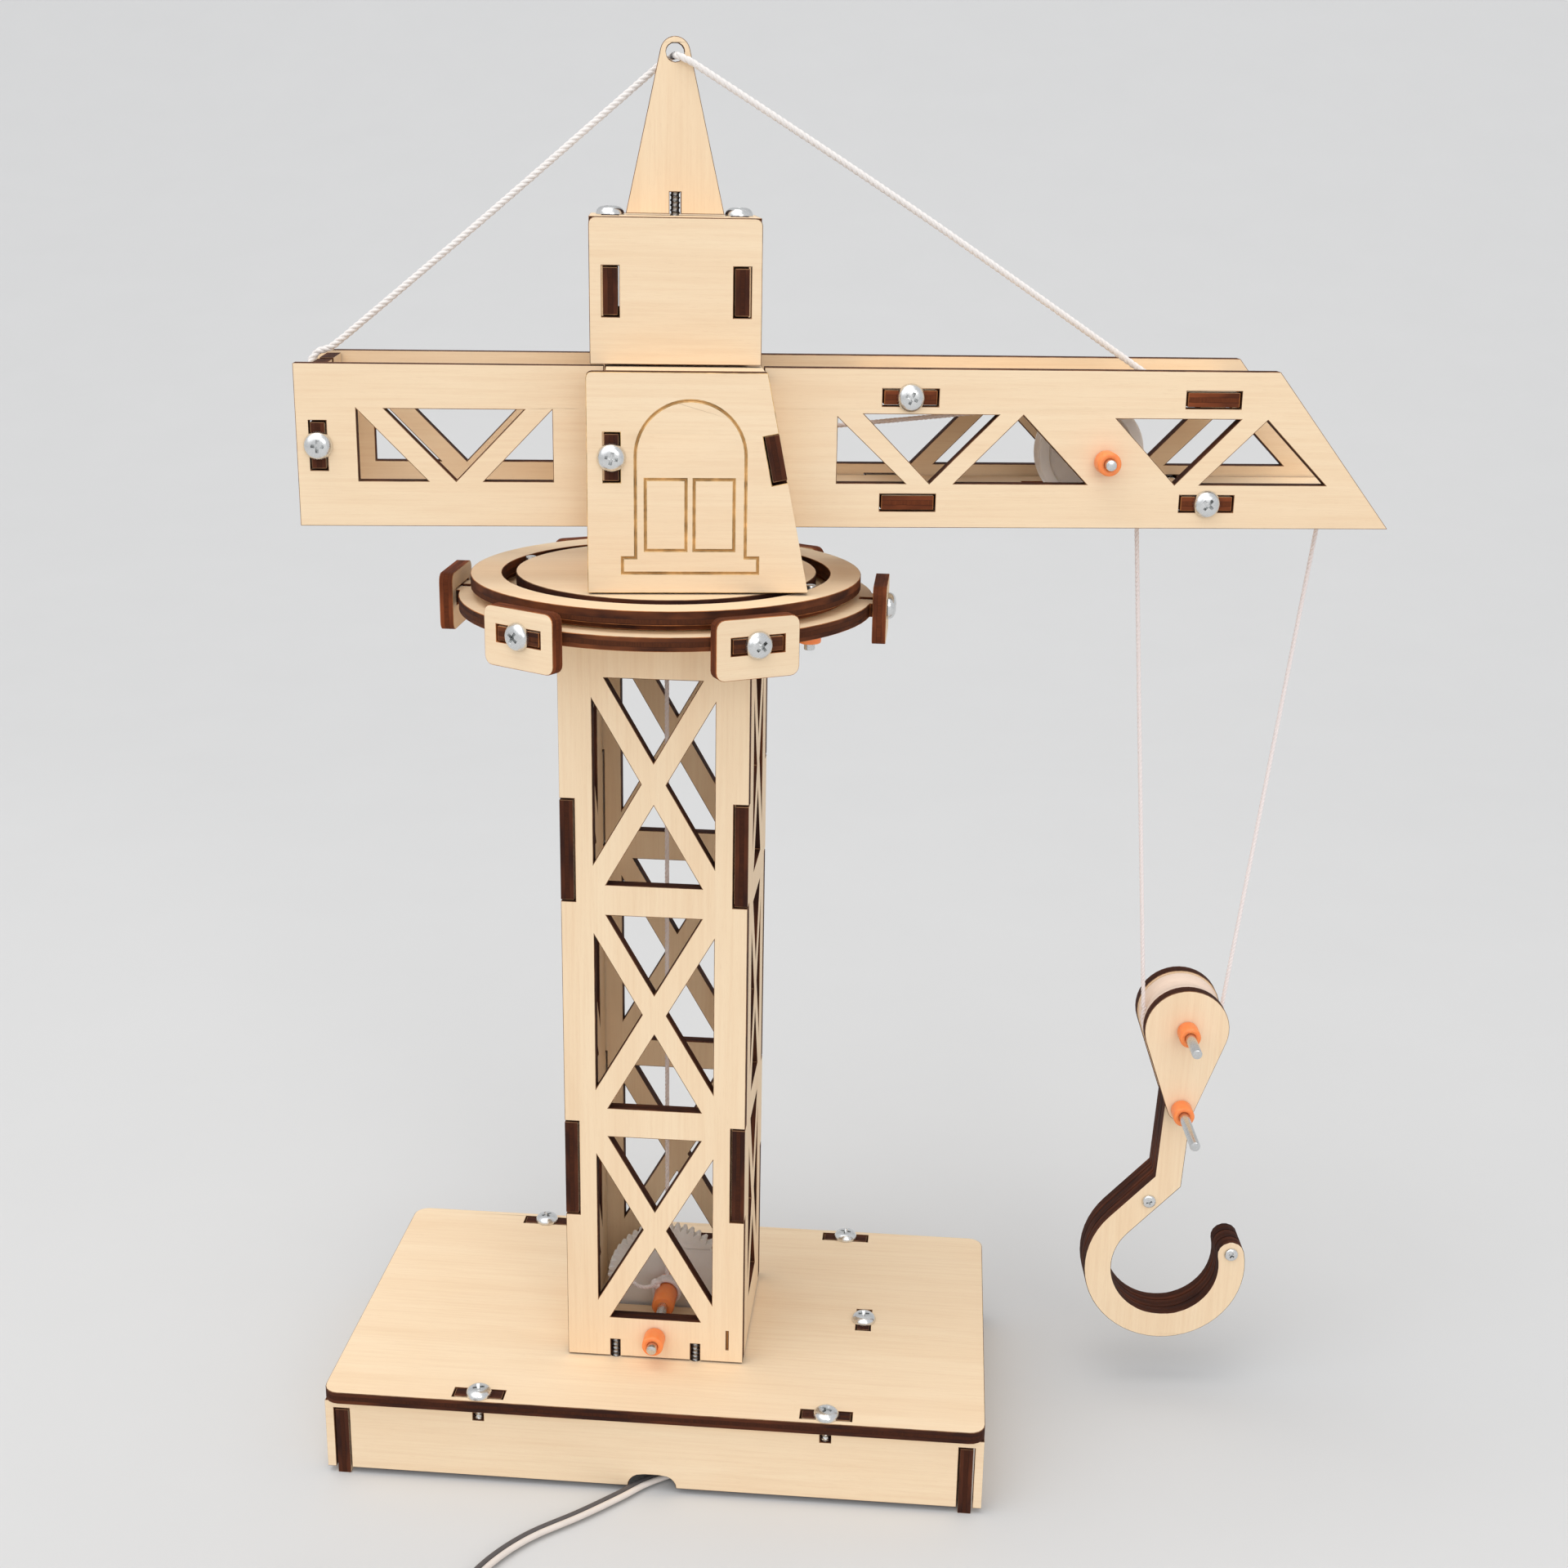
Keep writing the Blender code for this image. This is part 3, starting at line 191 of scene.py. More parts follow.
class Shader:
    """A Principled material and short ways to add nodes to it."""

    def __init__(self, name, roughness=0.5, metallic=0.0, specular=0.5):
        self.material = bpy.data.materials.new(name)
        self.material.use_nodes = True
        self.tree = self.material.node_tree
        self.main = self.tree.nodes["Principled BSDF"]
        self.main.inputs["Roughness"].default_value = roughness
        self.main.inputs["Metallic"].default_value = metallic
        self.main.inputs["Specular IOR Level"].default_value = specular

    def node(self, kind, settings=None, **links):
        made = self.tree.nodes.new("ShaderNode" + kind)
        for key, value in (settings or {}).items():
            setattr(made, key, value)
        for key, value in links.items():
            self.feed(made.inputs[key], value)
        return made

    def feed(self, socket, value):
        if isinstance(value, bpy.types.NodeSocket):
            self.tree.links.new(value, socket)
        else:
            socket.default_value = value

    def grain(self):
        """Position in a plate: along its grain, across it, and through its thickness, in millimetres."""
        return self.node("Attribute", {"attribute_name": "grain"}).outputs["Vector"]

    def place(self):
        """Position in the row frame, in millimetres."""
        there = self.node("TexCoord").outputs["Object"]
        return self.node("Mapping", Vector=there, Scale=(1000, 1000, 1000)).outputs[0]

    def stretched(self, vector, scale):
        return self.node("Mapping", Vector=vector, Scale=scale).outputs[0]

    def noise(self, vector, scale=1.0, detail=4.0, rough=0.55):
        made = self.node("TexNoise", Vector=vector, Scale=scale, Detail=detail, Roughness=rough)
        return made.outputs[0]

    def ramp(self, value, *stops):
        made = self.node("ValToRGB", Fac=value)
        elements = made.color_ramp.elements
        while len(elements) < len(stops):
            elements.new(0.5)
        for element, (at, colour) in zip(elements, stops):
            element.position = at
            element.color = (*colour, 1)
        return made.outputs[0]

    def mix(self, share, first, second, blend="MIX"):
        made = self.node("Mix", {"data_type": "RGBA", "blend_type": blend})
        self.feed(made.inputs[0], share)
        self.feed(made.inputs[6], first if isinstance(first, bpy.types.NodeSocket) else (*first, 1))
        self.feed(made.inputs[7], second if isinstance(second, bpy.types.NodeSocket) else (*second, 1))
        return made.outputs[2]

    def sums(self, operation, first, second=0.0, third=0.0):
        made = self.node("Math", {"operation": operation})
        for socket, value in zip(made.inputs, (first, second, third)):
            self.feed(socket, value)
        return made.outputs[0]

    def spread(self, value, low, high):
        made = self.node("MapRange", Value=value)
        made.inputs["To Min"].default_value = low
        made.inputs["To Max"].default_value = high
        return made.outputs[0]

    def bump(self, height, distance, strength=1.0):
        made = self.node("Bump", Height=height, Distance=distance * MM, Strength=strength)
        self.tree.links.new(made.outputs[0], self.main.inputs["Normal"])

    def colour(self, value):
        self.feed(self.main.inputs["Base Color"], value)

    def rough(self, value):
        self.feed(self.main.inputs["Roughness"], value)

    def translucent(self, weight, radius):
        self.main.inputs["Subsurface Weight"].default_value = weight
        self.main.inputs["Subsurface Radius"].default_value = radius
        self.main.inputs["Subsurface Scale"].default_value = 1.0


def studio_paper():
    s = Shader("studio_paper", roughness=0.9, specular=0.1)
    speck = s.noise(s.place(), 0.02, 3)
    s.colour(s.mix(speck, (0.632, 0.632, 0.63), (0.652, 0.652, 0.65)))
    return s.material


def plywood_face():
    """Sanded pale veneer: fine pores along the grain, soft figure, faint flecks."""
    s = Shader("plywood_face", roughness=0.6, specular=0.3)
    grain = s.grain()
    figure = s.noise(s.stretched(grain, (0.012, 0.16, 1.0)), 1.0, 5, 0.6)
    streaks = s.noise(s.stretched(grain, (0.05, 1.7, 1.0)), 1.0, 6, 0.62)
    pores = s.noise(s.stretched(grain, (0.5, 9.0, 1.0)), 1.0, 3, 0.6)
    cloud = s.noise(s.stretched(grain, (0.03, 0.03, 0.03)), 1.0, 2, 0.5)
    tones = ((0.30, (0.83, 0.61, 0.39)), (0.52, (0.87, 0.665, 0.44)), (0.72, (0.89, 0.70, 0.475)))
    warm = s.ramp(figure, *tones)
    lined = s.mix(s.ramp(streaks, (0.36, (0.3,) * 3), (0.56, (0.0,) * 3)), warm, (0.74, 0.49, 0.285))
    poured = s.mix(s.ramp(pores, (0.28, (0.32,) * 3), (0.42, (0.0,) * 3)), lined, (0.66, 0.43, 0.25))
    clouded = s.mix(s.spread(cloud, 0.0, 0.4), poured, (0.91, 0.76, 0.56))
    s.colour(clouded)
    s.rough(s.spread(streaks, 0.5, 0.72))
    s.bump(s.sums("ADD", streaks, pores), 0.035, 0.5)
    return s.material


def charred_edge(name="charred_edge", dark=(0.036, 0.014, 0.010), light=(0.105, 0.031, 0.014)):
    """Laser-cut edge: three veneers, the middle one with its grain end on, under a thin brown char."""
    s = Shader(name, roughness=0.8, specular=0.08)
    grain = s.grain()
    depth = s.node("SeparateXYZ", Vector=grain).outputs[2]
    wave = s.noise(s.stretched(grain, (0.6, 0.6, 0.3)), 1.0, 4)
    wandering = s.sums("ADD", depth, s.spread(wave, -0.12, 0.12))
    core = s.ramp(s.sums("ABSOLUTE", wandering), (0.34, (1.0,) * 3), (0.46, (0.0,) * 3))
    glue = s.ramp(s.sums("ABSOLUTE", wandering), (0.36, (0.0,) * 3), (0.42, (1.0,) * 3), (0.50, (0.0,) * 3))
    lines = s.noise(s.stretched(grain, (3.0, 3.0, 0.4)), 1.0, 5, 0.65)
    patch = s.noise(s.stretched(grain, (0.07, 0.07, 0.2)), 1.0, 3)
    outer = s.mix(s.ramp(patch, (0.4, (0,) * 3), (0.66, (1,) * 3)), dark, light)
    inner = s.mix(lines, tuple(0.62 * c for c in dark), tuple(0.8 * c for c in light))
    layered = s.mix(core, outer, inner)
    glued = s.mix(s.sums("MULTIPLY", glue, 0.6), layered, (0.012, 0.007, 0.006))
    s.colour(glued)
    s.rough(s.spread(lines, 0.55, 0.85))
    s.bump(s.sums("ADD", lines, core), 0.05, 0.6)
    return s.material


def scorched_rim(name="scorched_rim", tone=(0.28, 0.14, 0.066)):
    """The hair-thin toasted line where a cut breaks through the face."""
    s = Shader(name, roughness=0.7, specular=0.2)
    wear = s.noise(s.stretched(s.grain(), (0.35, 0.35, 0.35)), 1.0, 4)
    shades = [tuple(share * c for c in tone) for share in (0.42, 1.0, 1.5)]
    s.colour(s.ramp(wear, (0.35, shades[0]), (0.6, shades[1]), (0.8, shades[2])))
    return s.material


def bright_steel(name, tone=(0.72, 0.73, 0.73), roughness=0.24):
    s = Shader(name, roughness=roughness, metallic=1.0)
    scratches = s.noise(s.stretched(s.place(), (1.2, 9.0, 1.2)), 1.0, 5)
    s.colour(s.mix(scratches, tuple(0.82 * c for c in tone), tone))
    s.rough(s.spread(scratches, roughness * 0.7, roughness * 1.6))
    s.bump(scratches, 0.01, 0.3)
    return s.material


def orange_plastic():
    s = Shader("orange_silicone", roughness=0.38, specular=0.45)
    cloud = s.noise(s.place(), 0.8, 3)
    s.colour(s.mix(cloud, (1.0, 0.21, 0.045), (1.0, 0.33, 0.105)))
    s.rough(s.spread(s.noise(s.place(), 4.0, 3), 0.3, 0.5))
    s.translucent(0.35, (0.0022, 0.0010, 0.0004))
    s.bump(s.noise(s.place(), 3.0, 4), 0.02, 0.4)
    return s.material


def milky_plastic():
    s = Shader("milky_plastic", roughness=0.35, specular=0.5)
    cloud = s.noise(s.place(), 0.35, 4)
    s.colour(s.mix(cloud, (0.80, 0.76, 0.72), (0.90, 0.87, 0.84)))
    s.rough(s.spread(cloud, 0.28, 0.5))
    s.translucent(0.25, (0.002, 0.0018, 0.0015))
    s.bump(s.noise(s.place(), 2.0, 3), 0.015, 0.4)
    return s.material


def cotton(name, tone, shade):
    s = Shader(name, roughness=0.9, specular=0.15)
    fibres = s.noise(s.place(), 6.0, 5, 0.7)
    s.colour(s.mix(fibres, shade, tone))
    s.main.inputs["Sheen Weight"].default_value = 0.4
    s.bump(fibres, 0.06, 0.8)
    return s.material


def wire_skin(name, tone):
    s = Shader(name, roughness=0.42, specular=0.5)
    cloud = s.noise(s.place(), 0.5, 4)
    s.colour(s.mix(cloud, tuple(0.86 * c for c in tone), tone))
    s.rough(s.spread(s.noise(s.place(), 2.5, 4), 0.34, 0.56))
    s.bump(cloud, 0.02, 0.3)
    return s.material


def engraved_line():
    """The floor of a shallow laser engraving: toasted, not charred."""
    s = Shader("engraved_line", roughness=0.8, specular=0.1)
    wear = s.noise(s.stretched(s.grain(), (0.8, 0.8, 0.8)), 1.0, 4)
    s.colour(s.mix(wear, (0.30, 0.12, 0.035), (0.55, 0.27, 0.085)))
    s.bump(wear, 0.03, 0.5)
    return s.material


def turned_wood():
    s = Shader("turned_rim", roughness=0.6, specular=0.25)
    place = s.place()
    lines = s.noise(s.stretched(place, (0.6, 6.0, 0.6)), 1.0, 5)
    s.colour(s.mix(lines, (0.80, 0.60, 0.47), (0.90, 0.74, 0.62)))
    s.bump(lines, 0.03, 0.5)
    return s.material


# Pieces


def add_piece(name, mesh, body, slot, *looks, stands_for=()):
    piece = bpy.data.objects.new(name, mesh)
    for look in looks:
        if look.name not in mesh.materials:
            mesh.materials.append(look)
    bpy.context.scene.collection.objects.link(piece)
    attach(piece, body)
    if stands_for:
        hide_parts(*stands_for)
    return piece


def mesh_of(name, points, faces, angle=35):
    mesh = bpy.data.meshes.new(name)
    mesh.from_pydata([tuple(p) for p in points], [], faces)
    mesh.validate()
    mesh.shade_smooth()
    mesh.set_sharp_from_angle(angle=math.radians(angle))
    return mesh


def turned_mesh(name, profile, centre, way, steps=48, ring=False, angle=35):
    """A turned piece. The profile is (radius, distance along the axis); a ring's has no end caps."""
    way = Vector(way).normalized()
    across = way.orthogonal().normalized()
    third = way.cross(across)
    points, rows = [], []
    for radius, along in profile:
        count = steps if radius > 0 else 1
        rows.append([len(points) + i for i in range(count)])
        for i in range(count):
            turn = 2 * math.pi * i / steps
            out = across * math.cos(turn) + third * math.sin(turn)
            points.append(centre + (out * radius + way * along) * MM)
    pairs = list(zip(rows, rows[1:]))
    if ring:
        pairs.append((rows[-1], rows[0]))
    faces = []
    for low, high in pairs:
        for i in range(steps):
            j = i + 1
            corners = [low[i % len(low)], low[j % len(low)], high[j % len(high)], high[i % len(high)]]
            faces.append(tuple(dict.fromkeys(corners)))
    return mesh_of(name, points, faces, angle)


def mirrored(profile, start=0.0, end=0.0):
    """The profile's points in reverse order, on the other side of the middle between start and end."""
    return [(radius, start + end - along) for radius, along in reversed(profile)]


def rounded_rod(radius, start, end, c=0.25):
    half = [(0, start), (radius - c, start), (radius - c * 0.3, start + c * 0.3), (radius, start + c)]
    return half + mirrored(half, start, end)


def smooth_route(knots, spacing):
    """Points about spacing apart on a Catmull-Rom curve through the knots."""
    knots = [Vector(k) for k in knots]
    padded = [2 * knots[0] - knots[1], *knots, 2 * knots[-1] - knots[-2]]
    points = []
    for a, b, c, d in zip(padded, padded[1:], padded[2:], padded[3:]):
        steps = max(1, round((c - b).length / spacing))
        for i in range(steps):
            t = i / steps
            pull = (c - a) * t + (2 * a - 5 * b + 4 * c - d) * t**2 + (3 * b - a - 3 * c + d) * t**3
            points.append(b + pull / 2)
    return points + [knots[-1]]


def route_length(points):
    return sum((b - a).length for a, b in zip(points, points[1:]))


def evenly(points, spacing):
    """The same route with points evenly spacing apart."""
    total = route_length(points)
    count = max(2, round(total / spacing))
    found, travelled, i = [points[0]], 0.0, 0
    for k in range(1, count):
        want = total * k / count
        while travelled + (points[i + 1] - points[i]).length < want:
            travelled += (points[i + 1] - points[i]).length
            i += 1
        step = points[i + 1] - points[i]
        found.append(points[i] + step * ((want - travelled) / step.length))
    return found + [points[-1]]


def frames_along(points, first_side):
    """(point, side, over) along a route, with as little twist as can be."""
    found = []
    side = Vector(first_side)
    for i, point in enumerate(points):
        ahead = (points[min(i + 1, len(points) - 1)] - points[max(i - 1, 0)]).normalized()
        side = (side - ahead * side.dot(ahead)).normalized()
        found.append((point, side.copy(), ahead.cross(side)))
    return found


def skin(faces, first, rows, around):
    """Adds the faces of a closed tube to faces; its rows of points begin at first."""
    for i in range(rows):
        for k in range(around):
            a, b = first + i * around + k, first + i * around + (k + 1) % around
            faces.append((a, b, b + around, a + around))
    faces.append(tuple(first + k for k in reversed(range(around))))
    faces.append(tuple(first + rows * around + k for k in range(around)))


def tube_geometry(centres, radius, sides, points, faces):
    """Adds a closed tube round (point, side, over) frames to points and faces."""
    start = len(points)
    for centre, side, over in centres:
        for k in range(sides):
            turn = 2 * math.pi * k / sides
            points.append(centre + (side * math.cos(turn) + over * math.sin(turn)) * radius)
    skin(faces, start, len(centres) - 1, sides)


def rope_mesh(name, route, diameter, pitch, spacing=0.35):
    """Twisted string: strands laid round the route, whose points are in metres."""
    strands, side = 3, (0, 1, 0)
    route = evenly(route, spacing * MM)
    strand_radius = diameter * MM * 0.5 / (1 + 1 / math.sin(math.pi / strands)) * 1.18
    lay = diameter * MM * 0.5 - strand_radius
    points, faces = [], []
    travelled = 0.0
    laid = frames_along(route, side)
    twists = []
    for i, (point, _, _) in enumerate(laid):
        if i:
            travelled += (point - laid[i - 1][0]).length
        twists.append(2 * math.pi * travelled / (pitch * MM))
    for s in range(strands):
        centres = []
        for (point, across, over), twist in zip(laid, twists):
            turn = twist + 2 * math.pi * s / strands
            centres.append(point + (across * math.cos(turn) + over * math.sin(turn)) * lay)
        tube_geometry(frames_along(centres, side), strand_radius, 8, points, faces)
    return mesh_of(name, points, faces, 60)


def knot_mesh(name, centre, across, up_way, size, radius):
    """A small overhand knot, drawn tight."""
    across, up_way = Vector(across).normalized(), Vector(up_way).normalized()
    third = across.cross(up_way)
    loop = []
    for i in range(73):
        t = 2 * math.pi * i / 72
        x = math.sin(t) + 2 * math.sin(2 * t)
        y = math.cos(t) - 2 * math.cos(2 * t)
        z = -1.3 * math.sin(3 * t)
        loop.append(centre + (across * x + up_way * y + third * z) * size * MM / 3)
    points, faces = [], []
    tube_geometry(frames_along(loop, third), radius * MM, 10, points, faces)
    return mesh_of(name, points, faces, 60)


# Plywood plates

PLY_SLOT = "birch_plywood"
TOWER_NODES = frame["record"]["behaviour"]["bodies"]["tower"]
FACE, EDGE, RIM, LINE = range(4)
UPRIGHT_GRAIN = ("tower_", "mast_", "hook_", "block_front", "block_rear", "head_left", "head_right")


def plate_frame(node_object):
    """(centre, along, across, through) of a plate, where through is the normal of its broadest faces."""
    areas = {}
    for face in node_object.data.polygons:
        normal = face.normal
        if normal.z < -1e-3 or (abs(normal.z) <= 1e-3 and normal.y < -1e-3):
            normal = -normal
        key = tuple(round(c, 2) + 0.0 for c in normal)
        areas[key] = areas.get(key, 0) + face.area
    through = Vector(max(areas, key=areas.get)).normalized()
    upright = node_object.name.startswith(UPRIGHT_GRAIN)
    along = UP if upright else RIGHT if node_object.name in TOWER_NODES else AHEAD
    if abs(along.dot(through)) > 0.5:
        along = SIDE if upright or through.z < 0.5 else AHEAD
    along = (along - through * along.dot(through)).normalized()
    across = through.cross(along)
    low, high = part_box(node_object.name)
    return (low + high) / 2, along, across, through


def add_weld(thing):
    weld = thing.modifiers.new("weld", "WELD")
    weld.merge_threshold = WELD * MM


def paint_plate(thing, node_object, looks):
    """Gives a plate its veneer faces, charred edges and grain coordinates, and breaks its sharp edges."""
    centre, along, across, through = plate_frame(node_object)
    mesh = thing.data
    co = np.array([v.co for v in mesh.vertices]) - np.array(centre)
    shift = sum(ord(c) * (i + 3) for i, c in enumerate(node_object.name)) % 97
    local = np.stack([co @ np.array(way) / MM for way in (along, across, through)], axis=1)
    local[:, 0] += shift * 11.0
    local[:, 1] += shift * 7.0
    attribute = mesh.attributes.new("grain", "FLOAT_VECTOR", "POINT")
    attribute.data.foreach_set("vector", local.astype(np.float32).ravel())
    mesh.materials.clear()
    for look in looks:
        mesh.materials.append(look)
    for face in mesh.polygons:
        face.material_index = FACE if abs(face.normal.dot(through)) > 0.8 else EDGE
    add_weld(thing)
    bevel = thing.modifiers.new("bevel", "BEVEL")
    bevel.width = BEVEL * MM
    bevel.segments = 2
    bevel.limit_method = "ANGLE"
    bevel.angle_limit = math.radians(40)
    bevel.material = RIM
    bevel.use_clamp_overlap = False


def paint_hook_seam_shade():
    """Gives the hook's layers the charred-edge colour where they lie against each other, as painted shade, so the
    seams between them stay dark.
    """
    layers = (("hook_front_layer", (1,)), ("hook_middle_layer", (-1, 1)), ("hook_rear_layer", (-1,)))
    for name, inward in layers:
        for polygon in frame["nodes"][name].data.polygons:
            if any(polygon.normal.dot(BLOCK_SIDE) * way > 0.8 for way in inward):
                polygon.material_index = EDGE


def plywood_nodes():
    slots = {row["node"]: row["material_slot"] for row in frame["record"]["subparts"]}
    return [name for name in frame["nodes"] if slots[name] == PLY_SLOT]


def groove_solid(name, outline, width, front, way, depth):
    """A closed groove cutter along a closed outline of (x, z), width across, cut depth into a face."""
    def offset(by):
        found = []
        for i, point in enumerate(outline):
            before = Vector(point) - Vector(outline[i - 1])
            after = Vector(outline[(i + 1) % len(outline)]) - Vector(point)
            a, b = before.normalized(), after.normalized()
            bisector = (Vector((a.y, -a.x)) + Vector((b.y, -b.x))).normalized()
            scale = by / max(0.35, bisector.dot(Vector((a.y, -a.x))))
            found.append(Vector(point) + bisector * scale)
        return found

    outer, inner = offset(width / 2), offset(-width / 2)
    count = len(outline)
    points = []
    for level in (0.3, -depth):
        for loop in (outer, inner):
            points += [upper(p.x, 0, p.y) + way * (front + level * MM) for p in loop]
    faces = []
    for i in range(count):
        j = (i + 1) % count
        faces.append((i, j, count + j, count + i))
        faces.append((2 * count + i, 3 * count + i, 3 * count + j, 2 * count + j))
        faces.append((i, 2 * count + i, 2 * count + j, j))
        faces.append((count + i, count + j, 3 * count + j, 3 * count + i))
    return closed_solid(name, points, faces)


BOX_FACES = [(0, 1, 2, 3), (7, 6, 5, 4), (0, 4, 5, 1), (1, 5, 6, 2), (2, 6, 7, 3), (3, 7, 4, 0)]


def closed_solid(name, points, faces=BOX_FACES):
    """A cutter. Without faces, its points are the corners of two like rectangles, one after the other."""
    mesh = bpy.data.meshes.new(name)
    mesh.from_pydata([tuple(p) for p in points], [], faces)
    shape = bmesh.new()
    shape.from_mesh(mesh)
    bmesh.ops.recalc_face_normals(shape, faces=shape.faces)
    shape.to_mesh(mesh)
    shape.free()
    solid = bpy.data.objects.new(name, mesh)
    bpy.context.scene.collection.objects.link(solid)
    return solid


def box_cutter(name, x, z, wide, high, start, end):
    """A box along Y from start to end, reaching wide and high to each side of (x, z), in metres."""
    around = ((-wide, -high), (wide, -high), (wide, high), (-wide, high))
    return closed_solid(name, [Vector((x + dx, y, z + dz)) for y in (start, end) for dx, dz in around])


def carved(source_mesh, cutters, name):
    """A welded copy of a mesh with the cutters taken out of it."""
    mesh = source_mesh.copy()
    shape = bmesh.new()
    shape.from_mesh(mesh)
    bmesh.ops.remove_doubles(shape, verts=shape.verts, dist=1e-6)
    shape.to_mesh(mesh)
    shape.free()
    block = bpy.data.objects.new(name, mesh)
    bpy.context.scene.collection.objects.link(block)
    for cutter in cutters:
        cut = block.modifiers.new("cut", "BOOLEAN")
        cut.operation = "DIFFERENCE"
        cut.object = cutter
        cut.solver = "EXACT"
    graph = bpy.context.evaluated_depsgraph_get()
    result = bpy.data.meshes.new_from_object(block.evaluated_get(graph))
    bpy.data.objects.remove(block)
    for cutter in cutters:
        bpy.data.objects.remove(cutter)
    return result


def arc(x, z, radius, start, end, steps):
    turns = [math.radians(start + (end - start) * i / steps) for i in range(steps + 1)]
    return [(x + radius * math.cos(t), z + radius * math.sin(t)) for t in turns]


WINDOW_X = 3.7
WINDOW_HALF = 9.5
SILL_LOW, SILL_HIGH = 179.3, 182.0
PANE_LOW, PANE_HIGH = 183.3, 195.6
SPRING = 199.5


def window_outlines():
    left, right = WINDOW_X - WINDOW_HALF, WINDOW_X + WINDOW_HALF
    sill_left, sill_right = left - 2.3, right + 2.2
    frame_line = [(sill_left, SILL_LOW), (sill_right, SILL_LOW), (sill_right, SILL_HIGH), (right, SILL_HIGH)]
    frame_line += arc(WINDOW_X, SPRING, WINDOW_HALF, 0, 180, 28)
    frame_line += [(left, SILL_HIGH), (sill_left, SILL_HIGH)]
    panes = []
    for low_x, high_x in ((left + 1.7, WINDOW_X - 0.8), (WINDOW_X + 0.6, right - 2.0)):
        panes.append([(low_x, PANE_LOW), (high_x, PANE_LOW), (high_x, PANE_HIGH), (low_x, PANE_HIGH)])
    return [frame_line, *panes]


def make_cabin_panels(looks):
    for node_name, way in (("cabin_front_panel", -SIDE), ("cabin_rear_panel", SIDE)):
        node_object = frame["nodes"][node_name]
        front = max((v.co - AXIS).dot(way) for v in node_object.data.vertices)
        cutters = [
            groove_solid(f"{node_name}_cut_{i}", line, 0.36, front, way, 0.15)
            for i, line in enumerate(window_outlines())
        ]
        mesh = carved(node_object.data, cutters, node_name + "_carving")
        piece = add_piece(node_name + "_engraved", mesh, "upperworks", PLY_SLOT, stands_for=(node_name,))
        paint_plate(piece, node_object, looks)
        groove_faces(piece, way, front)


def groove_faces(piece, way, front):
    """Toasts the floor and the walls of grooves that lie inside the face."""
    for face in piece.data.polygons:
        depth = front - (face.center - AXIS).dot(way)
        if 0.02 * MM < depth < 0.6 * MM:
            face.material_index = LINE


def make_tower_front(looks):
    """The front panel, with the short upright mark that tells it from the rear one."""
    node_object = frame["nodes"]["tower_front_panel"]
    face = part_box("tower_front_panel")[0].y
    mark = tower(14.4, 0, 24.2)
    cutter = box_cutter("mark_cut", mark.x, mark.z, 0.22 * MM, 2.1 * MM, face - 0.3 * MM, face + 0.4 * MM)
    mesh = carved(node_object.data, [cutter], "tower_front_carving")
    piece = add_piece("tower_front_marked", mesh, "tower", PLY_SLOT, stands_for=("tower_front_panel",))
    paint_plate(piece, node_object, looks)
    groove_faces(piece, -BACK, -(face - AXIS.y))


# Fasteners


def thread_profile_mesh(points, faces, radius, start, end, pitch):
    """A threaded shank round local Z, from start down to end, with a tapered point."""
    around, per_turn = 20, 8
    rows = int((start - end) / pitch * per_turn)
    first = len(points)
    for i in range(rows + 1):
        z = start + (end - start) * i / rows
        taper = min(1.0, (z - end) / 1.2 + 0.12)
        for k in range(around):
            turn = 2 * math.pi * k / around
            phase = ((z / pitch) + k / around) % 1.0
            crest = max(0.0, 1 - abs(phase - 0.5) / 0.22)
            r = (radius * 0.74 + radius * 0.26 * crest) * taper
            points.append(Vector((r * math.cos(turn), r * math.sin(turn), z)) * MM)
    for i in range(rows):
        for k in range(around):
            a, b = first + i * around + k, first + i * around + (k + 1) % around
            faces.append((a, a + around, b + around, b))
    last = first + rows * around
    faces.append(tuple(last + k for k in reversed(range(around))))
    faces.append(tuple(first + k for k in range(around)))


def screw_mesh(name, head, height, shank, length, countersunk=False):
    """A cross-recess screw, its head's underside on the local XY plane and its shank along -Z."""
    lip = 0.12
    dome = [(0, -0.05), (shank * 0.8, -0.05), (head * 0.97, 0.0), (head, lip)]
    steps = 7
    crown = 0.3 if countersunk else 0.55
    for i in range(1, steps + 1):
        turn = math.pi / 2 * i / steps
        dome.append((head * math.cos(turn) ** crown, lip + (height - lip) * math.sin(turn)))
    dome[-1] = (0, height)
    body = turned_mesh(name + "_head", dome, Vector((0, 0, 0)), UP, 36, angle=50)
    arms = []
    reach, wide, floor = head * 0.56, head * 0.13, height - head * 0.42
    for turn in (0, math.pi / 2):
        c, s = math.cos(turn), math.sin(turn)
        corners = []
        for z, r, w in ((floor, reach * 0.45, wide * 0.6), (height + 0.5, reach, wide)):
            for x, y in ((-r, -w), (r, -w), (r, w), (-r, w)):
                corners.append(Vector((x * c - y * s, x * s + y * c, z)) * MM)
        arms.append(closed_solid(f"{name}_arm", corners))
    cut = carved(body, arms, name + "_cutting")
    points, faces = [], []
    thread_profile_mesh(points, faces, shank, 0.0, -length, 0.85)
    shape = bmesh.new()
    shape.from_mesh(cut)
    made = [shape.verts.new(p) for p in points]
    for face in faces:
        shape.faces.new([made[i] for i in face])
    mesh = bpy.data.meshes.new(name)
    shape.to_mesh(mesh)
    shape.free()
    mesh.shade_smooth()
    mesh.set_sharp_from_angle(angle=math.radians(38))
    return mesh


